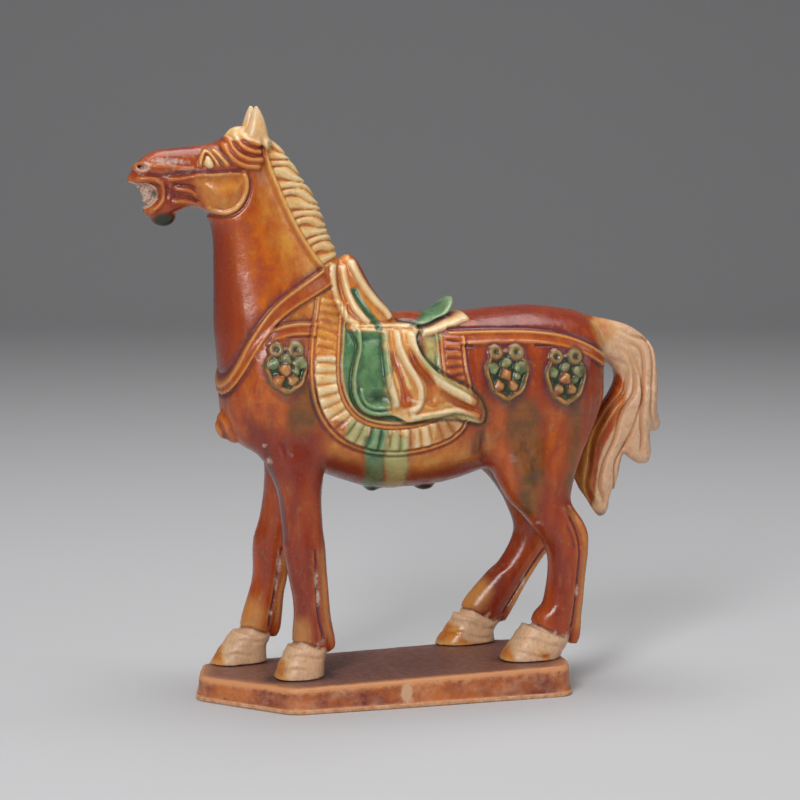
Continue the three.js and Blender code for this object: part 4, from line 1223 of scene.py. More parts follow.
# Where the glaze flaked off along the creases: x, z and the half length of each place, upright
FLAKED = {
    "near": [
        (-27, 49, 5), (-26.2, 42, 4), (-24.4, 24.6, 2), (79.2, 39, 3), (76.4, 72.4, 1.6), (63, 25.4, 1.6),
        (70, 22.8, 2.2), (75.4, 21, 2.6), (-32, 23.8, 1.4), (-26.4, 22.4, 1.6), (63.6, 67.4, 1.6),
        (-45.4, 101, 1.2), (-43.6, 95, 1.8),
    ],
    "far": [(-33, 50, 6), (-34, 42, 4), (-36.4, 30, 2), (80, 52, 3), (71, 37, 4), (55, 23, 2)],
}
# Wrinkles round the hooves
HOOF_WRINKLES = {
    "near": [
        [(-39, 17.6), (-34, 19.4), (-28.6, 18.4), (-24, 17.6)],
        [(-41, 13.4), (-35, 14.6), (-30, 13.6)],
        [(55.4, 20.4), (61, 20.8), (67, 18.6), (73, 17.4)],
        [(52.6, 16), (58, 15.6), (63.6, 13.8), (69, 14.4)],
    ],
    "far": [
        [(-54, 17.4), (-48, 19.4), (-43, 18.6), (-38, 18.4)],
        [(-57, 13), (-50, 14.4), (-45, 13)],
        [(40.4, 20.8), (47, 21), (53, 18), (59, 17.6)],
        [(38, 15.6), (44, 17), (50, 14.6), (57, 14)],
    ],
}
HOOF_STAINS = {
    "near": [
        [(-43, 15.6), (-38.4, 17.6), (-38.6, 12), (-37.4, 8), (-44, 8)],
        [(49, 16), (54, 21), (53.6, 15), (58, 11), (64, 9.6), (64, 7), (48, 7)],
        [(63, 17), (67, 15.4), (68.6, 11), (64, 11)],
    ],
    "far": [
        [(-61, 11), (-55, 17), (-55.4, 12), (-53, 7), (-61, 6)],
        [(35, 14), (40, 20), (44, 18.6), (46, 14), (58, 12), (58, 7), (35, 7)],
    ],
}
# Thin glaze over the fetlocks
FETLOCKS = {
    "near": [[(-35, 32), (-31, 33), (-30, 25), (-35, 24)]],
    "far": [
        [(-50, 30), (-44, 36), (-39, 31), (-41, 23), (-50, 24)],
        [(45, 34), (53, 40), (57, 33), (51, 26), (44, 26)],
    ],
}
HOOF_AREAS = {
    "near": [
        [(-37, 23), (-31.6, 24.4), (-27, 22.4), (-22, 20.6), (-20.6, 8), (-44, 8), (-42, 15)],
        [(59, 26.6), (65, 25.2), (70.6, 22.4), (77, 20), (76, 8), (48, 8), (50, 15)],
    ],
    "far": [
        [(-50.6, 23), (-45, 24.2), (-40, 22.2), (-36, 20.4), (-35, 8), (-62, 8), (-58, 15)],
        [(43, 25.4), (49, 25.4), (55, 22.2), (60.6, 19.8), (61, 8), (33, 8), (38, 16)],
    ],
}


def legs(flank, side):
    for crease in LEG_CREASES[side]:
        # painted shade in the leg creases
        flank.groove(*crease, dark=0.62)
    for name, rows in TENDONS.items():
        if name.startswith(side):
            cord = Stroke([((row[0] + row[2]) / 2, (row[1] + row[3]) / 2) for row in rows[1:-1]], 5)
            flank.tint(cord, "light", 0.5 * cord.swell(2, 5))
    for muscle in MUSCLES:
        flank.groove(*muscle, fade=5)
    for outline in FETLOCKS[side]:
        area = Area(outline, 4)
        flank.tint(area, "light", 0.6 * area.cover(6))
    for x, z, half_length in FLAKED[side]:
        window = Window(np.array([(x, z)]), half_length + 2)
        gap = np.hypot((window.x - x) / 1.3, (window.z - z) / half_length)
        flank.tint(window, "bare", 0.85 * bump(gap, 1.2))


def hooves(flank, side):
    for outline in HOOF_AREAS[side]:
        area = flank.pour(outline, "cream", 2)
        flank.tint(area, "biscuit", 0.75 * area.cover(2))
    for outline in HOOF_STAINS[side]:
        area = flank.pour(outline, "amber", 4, 0.85)
        flank.fade(area, "biscuit", 0.9 * area.cover(4))
    for points in HOOF_WRINKLES[side]:
        # faint painted shade in the hoof wrinkles
        flank.groove(half=0.9, depth=0.3, points=points, dark=0.05)
        stroke = Stroke(points, 4)
        flank.build(stroke, 0.2 * bump(stroke.side * stroke.gap - 1.5, 1.3) * stroke.ends(2))


# Glazes that ran over larger places

AMBER_AREAS = [
    [(-42, 212), (-44, 200), (-42, 188), (-38, 176), (-32, 166), (-22, 164), (-16, 172), (-24, 186),
     (-34, 204)],
    [(-40, 148), (-30, 157), (-18, 164), (-14, 148), (-24, 142), (-34, 143)],
    [(-24, 105), (-14, 100), (0, 96), (20, 97), (38, 103), (43, 100), (41, 92), (20, 88), (-4, 88),
     (-22, 95)],
]
ORANGE_AREAS = [
    [(-24, 98), (44, 102), (46, 86), (20, 79), (-4, 79), (-24, 88)],
    [(-50, 146), (-34, 160), (-18, 168), (-12, 150), (-24, 138), (-42, 140)],
    [(-54, 192), (-53, 168), (-50, 150), (-40, 152), (-24, 163), (-32, 180), (-40, 198), (-46, 208)],
    [(-58, 132), (-50, 142), (-30, 146), (-22, 122), (-30, 107), (-44, 108), (-55, 118)],
    [(-64, 116), (-57, 115), (-52, 108), (-50, 101), (-56, 98), (-64, 104)],
    [(-66, 203), (-52, 203), (-50, 196), (-56, 190), (-64, 192)],
    [(42, 116), (48, 115), (52, 100), (56, 84), (52, 78), (46, 92), (42, 104)],
    [(66, 112), (74, 113), (72, 96), (70, 84), (66, 90)],
]
DEEP_AREAS = [                   # with the share that the deep glaze covers
    (0.7, [(-64, 190), (-62, 186), (-57, 184), (-55, 160), (-55, 142), (-59, 118), (-64, 118)]),
    (0.7, [(40, 152), (60, 153), (84, 149), (82, 143), (60, 144), (42, 144)]),
    (0.7, [(36, 106), (39, 104), (43, 90), (50, 74), (46, 72), (38, 88), (34, 98)]),
    # Under the belly and between the fore legs the deep tint is partly the glaze's own deeper tone and partly
    # painted shade on the underside
    (0.92, [(-28, 100), (-4, 93), (14, 89), (44, 94), (48, 80), (20, 76), (-6, 76), (-28, 82)]),
    (0.85, [(-53, 112), (-47, 109), (-38, 104), (-24, 106), (-26, 90), (-40, 88), (-50, 95)]),
]
OLIVE_AREAS = [
    [(50, 117), (60, 117), (64, 101), (64, 85), (61, 70), (56.4, 72), (54.6, 87), (50.6, 102)],
    [(75.6, 116), (81, 116), (81, 98), (78, 80), (74, 82), (76, 98)],
    [(-34, 124), (-27, 126), (-24, 119), (-27, 108), (-33, 104), (-38, 112), (-36, 119)],
]
# Green and pale drips below the blanket, and an olive one behind the cloth's corner
DRIPS = [
    ([(-8.6, 104), (-8, 97), (-6, 88), (-4.4, 78), (3, 76), (2.4, 86), (0, 96), (-0.2, 104)], "green"),
    ([(-0.6, 104), (0, 96), (2.6, 86), (4, 78), (10.6, 78), (10.8, 88), (9, 98), (7.6, 104)], "pale"),
    ([(33, 121), (38, 119), (41.4, 114), (41, 106), (39.4, 96), (36.6, 96), (37, 106), (38.4, 111),
      (37.4, 116)], "olive"),
]
EARS = [(-52, 222), (-48, 228), (-46, 232), (-42, 232), (-38, 218), (-40, 214), (-44, 215.6), (-50, 218)]
WORN_PLACES = [
    [(-88, 210.4), (-82, 210.8), (-75, 210), (-71.6, 209), (-76, 207.9), (-84, 208.2)],
    [(-92.6, 206), (-89, 208.8), (-86.6, 208.4), (-87, 205.6), (-90.4, 204.8)],
    [(-80, 206.2), (-72, 206.6), (-66, 206.4), (-72, 205.2)],
]
# Beads of dark glaze that gathered under chin and belly: middle x, z and half sizes
DARK_BEADS = [(-80.6, 186.6, 5, 3.1), (1.6, 80, 3.6, 2), (22.6, 79.8, 4.6, 2.4)]


def ran_over(flank):
    for outline in ORANGE_AREAS:
        flank.pour(outline, "orange", 12)
    for outline in AMBER_AREAS:
        flank.pour(outline, "amber", 12)
    for outline in OLIVE_AREAS:
        flank.pour(outline, "olive", 6)
    for share, outline in DEEP_AREAS:
        area = Area(outline, 6)
        flank.tint(area, "deep", share * area.cover(8))


def drips(flank):
    for outline, name in DRIPS:
        area = flank.pour(outline, name, 3)
        flank.clear(area, 0.7 * area.cover(3))
        flank.build(area, 0.25 * smoothly(area.inside / 2))
    for outline in WORN_PLACES:
        area = Area(outline, 3)
        flank.tint(area, "bare", 0.62 * area.cover(2.5))
    ears = flank.pour(EARS, "cream", 2)
    flank.tint(ears, "biscuit", 0.35 * ears.cover(2))
    for x, z, half_x, half_z in DARK_BEADS:
        window = Window(np.array([(x, z)]), half_x + 1)
        thick_glaze_and_shade = smoothly(1.6 * (1.25 - np.hypot((window.x - x) / half_x, (window.z - z) / half_z)))
        flank.clear(window, thick_glaze_and_shade)
        flank.tint(window, "thick_glaze_and_shade", thick_glaze_and_shade)


def dressed_flank(side):
    flank = Flank()
    ran_over(flank)
    hooves(flank, side)
    head(flank)
    mane(flank)
    for half, path in STRAPS.values():
        strap(flank, half, path)
    for shape in MEDALLIONS.values():
        medallion(flank, **shape)
    blanket(flank)
    saddle_cloth(flank)
    saddle(flank)
    tail(flank)
    legs(flank, side)
    drips(flank)
    return flank


near_flank = dressed_flank("near")
far_flank = dressed_flank("far")


def on_flanks(name, x, y, z):
    """A map read at points of the figure: the near flank's for negative y, the far one's for positive."""
    near_map = near_flank.height if name == "height" else near_flank.glaze[name]
    far_map = far_flank.height if name == "height" else far_flank.glaze[name]
    far_share = smoothly(0.5 + y / 3)
    return sample(near_map, x, z) * (1 - far_share) + sample(far_map, x, z) * far_share


# The figure

WAVES = ((19, 0.13), (6, 0.05))  # sizes and heights of the skin's unevenness
BLOCK = ((-102, -38, 2), (132, 38, 236))
CUT_HEIGHT = 24                  # of the block's lowest layers, which the slab's level cuts off


def mirrored(rows):
    return [(*row[:5], -row[5]) for row in rows]


def model_figure():
    clay = Clay(*BLOCK)
    clay.add(loft(TRUNK, belly=0.48, squareness=2.3), 0.5)
    clay.add(loft(NECK, belly=0.42, squareness=2.3), 5)
    for rows in LEGS.values():
        clay.add(loft(rows, sides=40), 4.5)
    clay.add(loft(TAIL["root"], sides=40), 3)
    for name in ("outer", "middle", "inner"):
        clay.add(loft(TAIL[name], sides=40), 2)
    clay.add(loft(HEAD, squareness=2.3), 3.5)
    clay.add(loft(JAW, sides=40), 1.5)
    clay.add(loft(MOUTH, sides=40), 0.8)
    clay.add(loft(CREST, sides=40), 2)
    for rows in HOOVES.values():
        clay.add(loft(rows, squareness=2.4, sides=40), 1.2)
    for rows in TENDONS.values():
        clay.add(loft(rows, squareness=2.6, sides=32), 0.8)
    clay.add(loft(POMMEL), 2.5)
    clay.add(loft(CANTLE), 1.5)
    for rows in (EAR, mirrored(EAR)):
        clay.add(loft(rows, sides=32), 1.5)
    for sizes in KNOBS.values():
        clay.add(knob(*sizes), 1.0)
    return clay


def carve(clay):
    """Raises the relief of both flanks out of the figure's skin, which is a little uneven."""
    skin = np.nonzero(np.abs(clay.distance) < RELIEF_REACH)
    x, y, z = clay.places(skin)
    relief = on_flanks("height", x, y, z)
    for seed, (size, height) in enumerate(WAVES):
        relief += height * unevenness((x, y, z), size, seed)
    clay.distance[skin] -= relief


def stand_on_slab(clay):
    """Cuts the hooves flat, a small gap above the slab."""
    count = clay.count
    x = (np.arange(count[0]) + clay.low[0])[:, None] * VOXEL
    y = (np.arange(count[1]) + clay.low[1])[None, :] * VOXEL
    level = (slab_level(x * GROW, y * GROW) + HOOF_GAP - STAND) / GROW + DRAWN_STAND
    low_layers = int(CUT_HEIGHT / VOXEL)
    z = (np.arange(low_layers) + clay.low[2])[None, None, :] * VOXEL
    part = clay.distance[:, :, :low_layers]
    np.maximum(part, (level[:, :, None] - z).astype(np.float32), out=part)


# Slab

SLAB_HEAD_THICKNESS = 9.3
SLAB_TAIL_THICKNESS = 12.3
SLAB_FAR_FALL = 3
LIP_PROUD = 1.1
SLAB_HEAD_CUT = 30
SLAB_TAIL_CUT = 20
SLAB_TAIL_SKEW = 4
SLAB_FAR_HEAD_CUT = 15
SLAB_FAR_HEAD_BEND = (8.4, 4.8)
SLAB_FALL_START = 0.3            # share of the way to the far edge where the top starts to fall
SLAB_NEAR_MARGIN = 10            # slab outside the near hooves
SLAB_CORNER_RADIUS = 5
SLAB_EDGE_RADIUS = 1.8
LIP_HEIGHT = 2.2
slab_low = base_low + LIP_PROUD
slab_high = base_high - LIP_PROUD


def slab_level(x, y):
    """Height of the slab's top: it climbs from head to tail and falls away towards the far edge."""
    along = (x - slab_low[0]) / (slab_high[0] - slab_low[0])
    across = np.maximum(0, (y / slab_high[1] - SLAB_FALL_START) / (1 - SLAB_FALL_START))
    rise = SLAB_HEAD_THICKNESS + (SLAB_TAIL_THICKNESS - SLAB_HEAD_THICKNESS) * along
    return rise - SLAB_FAR_FALL * across**2


def slab_plan(count):
    """Evenly spaced points round the slab's upper edge."""
    low_x, low_y = slab_low[:2]
    high_x, high_y = slab_high[:2]
    corners = np.array([
        (low_x + SLAB_HEAD_CUT, low_y),
        (high_x - SLAB_TAIL_SKEW, low_y),
        (high_x, low_y + SLAB_NEAR_MARGIN),
        (high_x, high_y - SLAB_TAIL_CUT),
        (high_x - SLAB_TAIL_CUT, high_y),
        (low_x + SLAB_FAR_HEAD_CUT, high_y),
        (low_x + SLAB_FAR_HEAD_BEND[0], high_y - SLAB_FAR_HEAD_BEND[1]),
        (low_x, (low_y + high_y) / 2),
    ])
    line = []
    part = np.linspace(0, 1, 9)[:, None]
    for before, corner, after in zip(np.roll(corners, 1, 0), corners, np.roll(corners, -1, 0)):
        start = corner + (before - corner) * SLAB_CORNER_RADIUS / np.hypot(*(before - corner))
        end = corner + (after - corner) * SLAB_CORNER_RADIUS / np.hypot(*(after - corner))
        line.append(start * (1 - part) ** 2 + 2 * corner * part * (1 - part) + end * part**2)
    line = np.vstack([*line, line[0][:1]])
    passed = np.concatenate([[0], np.cumsum(np.hypot(*np.diff(line, axis=0).T))])
    spaced = np.linspace(0, passed[-1], count, endpoint=False)
    return np.stack([np.interp(spaced, passed, line[:, k]) for k in range(2)], 1)


# Rows round the slab's section, from the middle of its top to the middle of its underside:
# share of the way out, millimetres further, share of the top's level, height over that, bends to the next row
SLAB_PROFILE = [
    (0.004, 0, 1, 0, 26),
    (1, -SLAB_EDGE_RADIUS, 1, 0, 4),
    (1, -SLAB_EDGE_RADIUS * 0.45, 1, -SLAB_EDGE_RADIUS * 0.12, 4),
    (1, -SLAB_EDGE_RADIUS * 0.12, 1, -SLAB_EDGE_RADIUS * 0.45, 4),
    (1, 0, 1, -SLAB_EDGE_RADIUS, 12),
    (1, 0, 0, LIP_HEIGHT, 4),
    (1, LIP_PROUD, 0, LIP_HEIGHT * 0.7, 4),
    (1, LIP_PROUD, 0, LIP_HEIGHT * 0.2, 2),
    (1, LIP_PROUD * 0.4, 0, 0, 6),
    (0.004, 0, 0, 0, 0),
]
SLAB_SIDES = 440
EDGE_ROW = 28                    # of the profile's rows, once bent, the one that runs along the upper edge
LIP_ROW = 50                     # and the one where the lip starts
EDGE_WAVES = ((17, 0.25), (4, 0.1))  # sizes and heights of what wavers along the edge
DENTS = (9, 0.08)                # and of the top's dents
BARE_SPOT = (5.2, 6)             # x and z of a place that the glaze missed
BARE_SPOT_SIZE = (2.6, 4)
HOOF_PLACES = [(-31.5, -17), (-47.5, 19.5), (62.5, -18), (48, 21)]
POOL_AND_SHADOW_SIZE = (15, 10)             # of the dark glaze pooled round each hoof, with its painted contact shadow


def unevenness(place, size, seed):
    """Smooth seeded bumps of about the given size at places x, y, z, from -1 to 1."""
    random = np.random.default_rng(seed)
    total = 0
    for _ in range(7):
        way = random.normal(size=3)
        way *= 2 * math.pi / (size * random.uniform(0.8, 1.9) * np.linalg.norm(way))
        across = sum(np.float32(step) * value for step, value in zip(way, place))
        total = total + np.sin(across + np.float32(random.uniform(0, 2 * math.pi)))
    return total / 4


def slab_rows():
    """The profile with its bends, each row once."""
    rows = []
    for row, following in zip(SLAB_PROFILE[:-1], SLAB_PROFILE[1:]):
        part = np.arange(row[4])[:, None] / row[4]
        rows.append(np.array(row[:4]) * (1 - part) + np.array(following[:4]) * part)
    return np.vstack([*rows, [SLAB_PROFILE[-1][:4]]])


def make_base():
    rows = slab_rows()
    plan = slab_plan(SLAB_SIDES)
    middle = (slab_low[:2] + slab_high[:2]) / 2
    arm = plan - middle
    length = np.hypot(*arm.T)
    reach = length[None, :] * rows[:, :1] + rows[:, 1:2]
    spot = middle + arm[None] / length[None, :, None] * reach[:, :, None]
    level = slab_level(spot[..., 0], spot[..., 1]) * rows[:, 2:3] + rows[:, 3:4]
    rings = np.concatenate([spot, level[..., None]], 2)
    on_rim = np.clip(1 - np.abs(np.arange(len(rows)) - EDGE_ROW - 3) / 16, 0, 1)[:, None]
    place = np.moveaxis(rings, 2, 0)
    waver = sum(height * unevenness(place, size, seed) for seed, (size, height) in enumerate(EDGE_WAVES, 3))
    dents = unevenness(place, DENTS[0], 5) * DENTS[1] * rows[:, 2:3]
    outward = arm / length[:, None]
    rings[..., :2] += outward[None] * (waver * on_rim)[..., None]
    rings[..., 2] += dents
    points, triangles = closed_tube(rings)
    base = make_object("slab", points, triangles)
    row_of = np.append(np.repeat(np.arange(len(rows)), SLAB_SIDES), [0, len(rows) - 1])
    store(base, "edge", smoothly(1.3 - np.abs(row_of - EDGE_ROW - 4) / 8))
    x, y, z = points.T
    # dark glaze pooled round each hoof, with a painted contact shadow
    glaze_pool_and_shadow = np.zeros(len(points))
    for hoof_x, hoof_y in HOOF_PLACES:
        off_hoof = np.hypot((x - hoof_x) / POOL_AND_SHADOW_SIZE[0], (y - hoof_y) / POOL_AND_SHADOW_SIZE[1])
        glaze_pool_and_shadow = np.maximum(glaze_pool_and_shadow, smoothly(3 * (1.15 - off_hoof)))
    store(base, "glaze_pool_and_shadow", 0.8 * glaze_pool_and_shadow)
    store(base, "side", smoothly((row_of - EDGE_ROW - 2) / 6))
    store(base, "lip", smoothly((row_of - LIP_ROW) / 4))
    off_spot = np.hypot((x - BARE_SPOT[0]) / BARE_SPOT_SIZE[0], (z - BARE_SPOT[1]) / BARE_SPOT_SIZE[1])
    store(base, "spot", (1.5 - off_spot) * (y < 0))
    base.data.shade_smooth()
    return base


# Pieces


def make_object(name, points, faces):
    """A mesh object through points in millimetres, with faces that all have as many corners."""
    mesh = bpy.data.meshes.new(name)
    corners = faces.shape[1]
    mesh.vertices.add(len(points))
    mesh.vertices.foreach_set("co", (points * MM).astype(np.float32).ravel())
    mesh.loops.add(faces.size)
    mesh.loops.foreach_set("vertex_index", faces.astype(np.int32).ravel())
    mesh.polygons.add(len(faces))
    mesh.polygons.foreach_set("loop_start", np.arange(0, faces.size, corners, dtype=np.int32))
    mesh.update(calc_edges=True)
    mesh.validate()
    return put_in_scene(name, mesh)


def thin_out(thing, triangles):
    """Takes triangles away where the skin is flattest, down to about the given number."""
    mesh = thing.data
    now = sum(len(face.vertices) - 2 for face in mesh.polygons)
    thinner = thing.modifiers.new("thin out", "DECIMATE")
    thinner.ratio = min(1, triangles / now)
    depsgraph = bpy.context.evaluated_depsgraph_get()
    thinned = bpy.data.meshes.new_from_object(thing.evaluated_get(depsgraph))
    thing.modifiers.clear()
    thing.data = thinned
    bpy.data.meshes.remove(mesh)
    thinned.name = thing.name


def points_of(thing):
    values = np.empty(len(thing.data.vertices) * 3, np.float32)
    thing.data.vertices.foreach_get("co", values)
    return values.reshape(-1, 3) / MM


def store(thing, name, values):
    layer = thing.data.attributes.new(name, "FLOAT", "POINT")
    layer.data.foreach_set("value", np.clip(values, 0, 1).astype(np.float32))


def make_horse():
    clay = model_figure()
    carve(clay)
    stand_on_slab(clay)
    points, quads = clay.mesh()
    grown = points * GROW
    grown[:, 2] = STAND + (points[:, 2] - DRAWN_STAND) * GROW
    horse = make_object("tomb_horse", grown, quads[:, ::-1])
    thin_out(horse, TRIANGLES)
    drawn = points_of(horse)
    x, y = drawn[:, 0] / GROW, drawn[:, 1] / GROW
    z = DRAWN_STAND + (drawn[:, 2] - STAND) / GROW
    for name in COATS + TINTS:
        store(horse, name, on_flanks(name, x, y, z))
    proud = clay.proudness(x, y, z)
    store(horse, "proud", (proud - 0.08) / 0.34)
    store(horse, "sunk", (-0.03 - proud) / 0.3)
    horse.data.shade_smooth()
    return horse


horse = make_horse()
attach(horse, "root")
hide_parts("horse")

base = make_base()
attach(base, "root")
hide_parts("base")


# Materials

class Wiring:
    """The nodes of one material or group, joined as they are made."""

    def __init__(self, tree):
        self.tree = tree

    def feed(self, socket, value):
        """Joins a socket to another one, or gives it a plain value."""
        if isinstance(value, bpy.types.NodeSocket):
            self.tree.links.new(value, socket)
        else:
            socket.default_value = value

    def node(self, kind, sockets, **settings):
        made = self.tree.nodes.new(kind)
        for name, value in settings.items():
            setattr(made, name, value)
        for name, value in sockets.items():
            self.feed(made.inputs[name], value)
        return made

    def use(self, group, **sockets):
        return self.node("ShaderNodeGroup", sockets, node_tree=group).outputs[0]

    def attribute(self, name):
        return self.node("ShaderNodeAttribute", {}, attribute_name=name).outputs["Fac"]

    def place(self):
        return self.node("ShaderNodeTexCoord", {}).outputs["Object"]

    def reckon(self, operation, *values, clamp=True):
        made = self.node("ShaderNodeMath", dict(enumerate(values)), operation=operation, use_clamp=clamp)
        return made.outputs["Value"]

    def noise(self, fineness, upright, roughness):
        """Noise of a fineness per metre, drawn out upright where that is under one."""
        stretch = self.node("ShaderNodeCombineXYZ", {"X": 1, "Y": 1, "Z": upright}).outputs["Vector"]
        place = self.node("ShaderNodeVectorMath", {0: self.place(), 1: stretch}, operation="MULTIPLY")
        sockets = {"Vector": place.outputs["Vector"], "Scale": fineness, "Detail": 4, "Roughness": roughness}
        return self.node("ShaderNodeTexNoise", sockets).outputs["Fac"]

    def between(self, share, low, high):
        """A share from nought to one turned into a number from low to high."""
        made = self.node("ShaderNodeMapRange", {"Value": share, "To Min": low, "To Max": high})
        return made.outputs["Result"]

    def mix(self, below, above, share):
        """One colour over another, each a socket or three numbers."""
        sockets = {"Factor": share, "A": below, "B": above}
        for name in ("A", "B"):
            if not isinstance(sockets[name], bpy.types.NodeSocket):
                sockets[name] = (*sockets[name], 1)
        return self.node("ShaderNodeMix", sockets, data_type="RGBA").outputs["Result"]


def make_group(name, inputs, output):
    """A node group with numbers for inputs: its tree, its wiring, what comes in and what goes out."""
    tree = bpy.data.node_groups.new(name, "ShaderNodeTree")
    for socket, value in inputs.items():
        made = tree.interface.new_socket(socket, in_out="INPUT", socket_type="NodeSocketFloat")
        made.default_value = value
    tree.interface.new_socket(output, in_out="OUTPUT", socket_type="NodeSocketFloat")
    given = tree.nodes.new("NodeGroupInput").outputs
    result = tree.nodes.new("NodeGroupOutput").inputs[output]
    return tree, Wiring(tree), given, result


def ragged_group():
    """Where a coat of glaze lies: its border is soft and wanders, drawn out upright as told."""
    inputs = {"Cover": 0, "Wander": 0.6, "Softness": 0.5, "Fineness": 420, "Upright": 1}
    tree, wiring, given, result = make_group("ragged edge", inputs, "Mask")
    noise = wiring.noise(given["Fineness"], given["Upright"], 0.65)
    wander = wiring.reckon("SUBTRACT", noise, 0.5, clamp=False)
    level = wiring.reckon("MULTIPLY_ADD", wander, given["Wander"], given["Cover"], clamp=False)
    over = wiring.reckon("SUBTRACT", level, 0.5, clamp=False)
    slope = wiring.reckon("DIVIDE", over, given["Softness"], clamp=False)
    wiring.feed(result, wiring.reckon("ADD", slope, 0.5))
    return tree


def mottling_group():
    """Clouds of the given fineness per metre, drawn out upright into streaks where that is under one."""
    tree, wiring, given, result = make_group("mottling", {"Fineness": 100, "Upright": 1}, "Share")
    noise = wiring.noise(given["Fineness"], given["Upright"], 0.6)
    share = wiring.node("ShaderNodeMapRange", {"Value": noise, "From Min": 0.36, "From Max": 0.64})
    wiring.feed(result, share.outputs["Result"])
    return tree


def pinhole_group():
    """Pinholes, one in some of the cells that a metre has so many of."""
    tree, wiring, given, result = make_group("pinholes", {"Fineness": 260, "Radius": 0.1}, "Mask")
    cells = wiring.node("ShaderNodeTexVoronoi", {"Vector": wiring.place(), "Scale": given["Fineness"]})
    depth = wiring.reckon("DIVIDE", cells.outputs["Distance"], given["Radius"])
    hole = wiring.reckon("SUBTRACT", 1, depth)
    chosen = wiring.reckon("GREATER_THAN", cells.outputs["Color"], 0.55)
    wiring.feed(result, wiring.reckon("MULTIPLY", hole, chosen))
    return tree


RAGGED = ragged_group()
MOTTLING = mottling_group()
PINHOLES = pinhole_group()

# Each glaze: even, clouded, pooled in hollows, and thin on edges
GLAZES = {
    "brown": ((0.22, 0.022, 0.007), (0.42, 0.066, 0.01), (0.13, 0.026, 0.03), (0.57, 0.17, 0.03)),
    "orange": ((0.56, 0.13, 0.012), (0.37, 0.054, 0.009), (0.36, 0.066, 0.014), (0.7, 0.3, 0.07)),
    "amber": ((0.68, 0.29, 0.045), (0.54, 0.14, 0.016), (0.46, 0.12, 0.02), (0.78, 0.46, 0.14)),
    "cream": ((0.8, 0.56, 0.26), (0.72, 0.38, 0.1), (0.58, 0.2, 0.035), (0.84, 0.7, 0.46)),
    "pale": ((0.36, 0.37, 0.13), (0.52, 0.42, 0.16), (0.13, 0.15, 0.04), (0.6, 0.57, 0.31)),
    "green": ((0.055, 0.16, 0.066), (0.13, 0.26, 0.11), (0.014, 0.05, 0.022), (0.32, 0.43, 0.22)),
    "olive": ((0.12, 0.056, 0.013), (0.27, 0.084, 0.016), (0.05, 0.022, 0.01), (0.36, 0.19, 0.055)),
}
# How far borders wander, how soft they are, how fine their waves are, and how these are drawn out upright.
# The coats and tints that are left out have plain borders
BORDERS = {
    "orange": (1.0, 1.0, 230, 0.3),
    "amber": (1.0, 0.9, 260, 0.4),
    "cream": (0.5, 0.55, 420, 1),
    "pale": (1.1, 0.8, 330, 0.6),
    "green": (1.0, 0.8, 330, 0.6),
    "olive": (1.2, 0.9, 260, 0.16),
    "sunk": (0.9, 0.8, 420, 1),
    "proud": (0.9, 0.9, 420, 1),
    "biscuit": (0.7, 0.8, 420, 1),
    "dark": (0.9, 1, 420, 1),
    "bare": (1.7, 0.5, 900, 1),
    "glaze_pool_and_shadow": (0.6, 1, 420, 1),
    "side": (0.6, 0.5, 420, 1),
    "edge": (1.2, 0.6, 420, 1),
    "spot": (1.2, 0.5, 420, 1),
    "lip": (0.9, 0.5, 420, 1),
}
TINT_COLOURS = {
    "light": (0.7, 0.33, 0.085),
    "deep": (0.22, 0.026, 0.011),
    # dark: painted shade in creases, grooves and hollows; the pinholes and the tail's tip take it too
    "dark": (0.095, 0.028, 0.042),
    "bare": (0.53, 0.36, 0.29),
    "biscuit": (0.7, 0.43, 0.27),   # fired clay under a thin wash, on tail, hooves and ears
    "thick_glaze_and_shade": (0.02, 0.026, 0.014),   # glaze that gathered thick in drips, and painted shade in recesses, round beads and under the cloth's edge
}
SPECKLE = (0.3, 0.12, 0.05)      # dust in the wash


def new_material(name):
    material = bpy.data.materials.new(name)
    material.use_nodes = True
    return material, Wiring(material.node_tree), material.node_tree.nodes["Principled BSDF"]


def where(wiring, name):
    """Where a coat or a tint lies, up to its border."""
    stored = wiring.attribute(name)
    if name not in BORDERS:
        return stored
    settings = zip(("Wander", "Softness", "Fineness", "Upright"), BORDERS[name])
    return wiring.use(RAGGED, Cover=stored, **dict(settings))


def skin_bump(wiring, shader, holes, depth):
    """The faint waves and the pinholes of a fired glaze."""
    sockets = {"Vector": wiring.place(), "Scale": 520, "Detail": 3}
    peel = wiring.node("ShaderNodeTexNoise", sockets).outputs["Fac"]
    height = wiring.reckon("MULTIPLY_ADD", holes, -0.8, peel, clamp=False)
    bumps = wiring.node("ShaderNodeBump", {"Height": height, "Strength": 1, "Distance": depth})
    wiring.feed(shader.inputs["Normal"], bumps.outputs["Normal"])


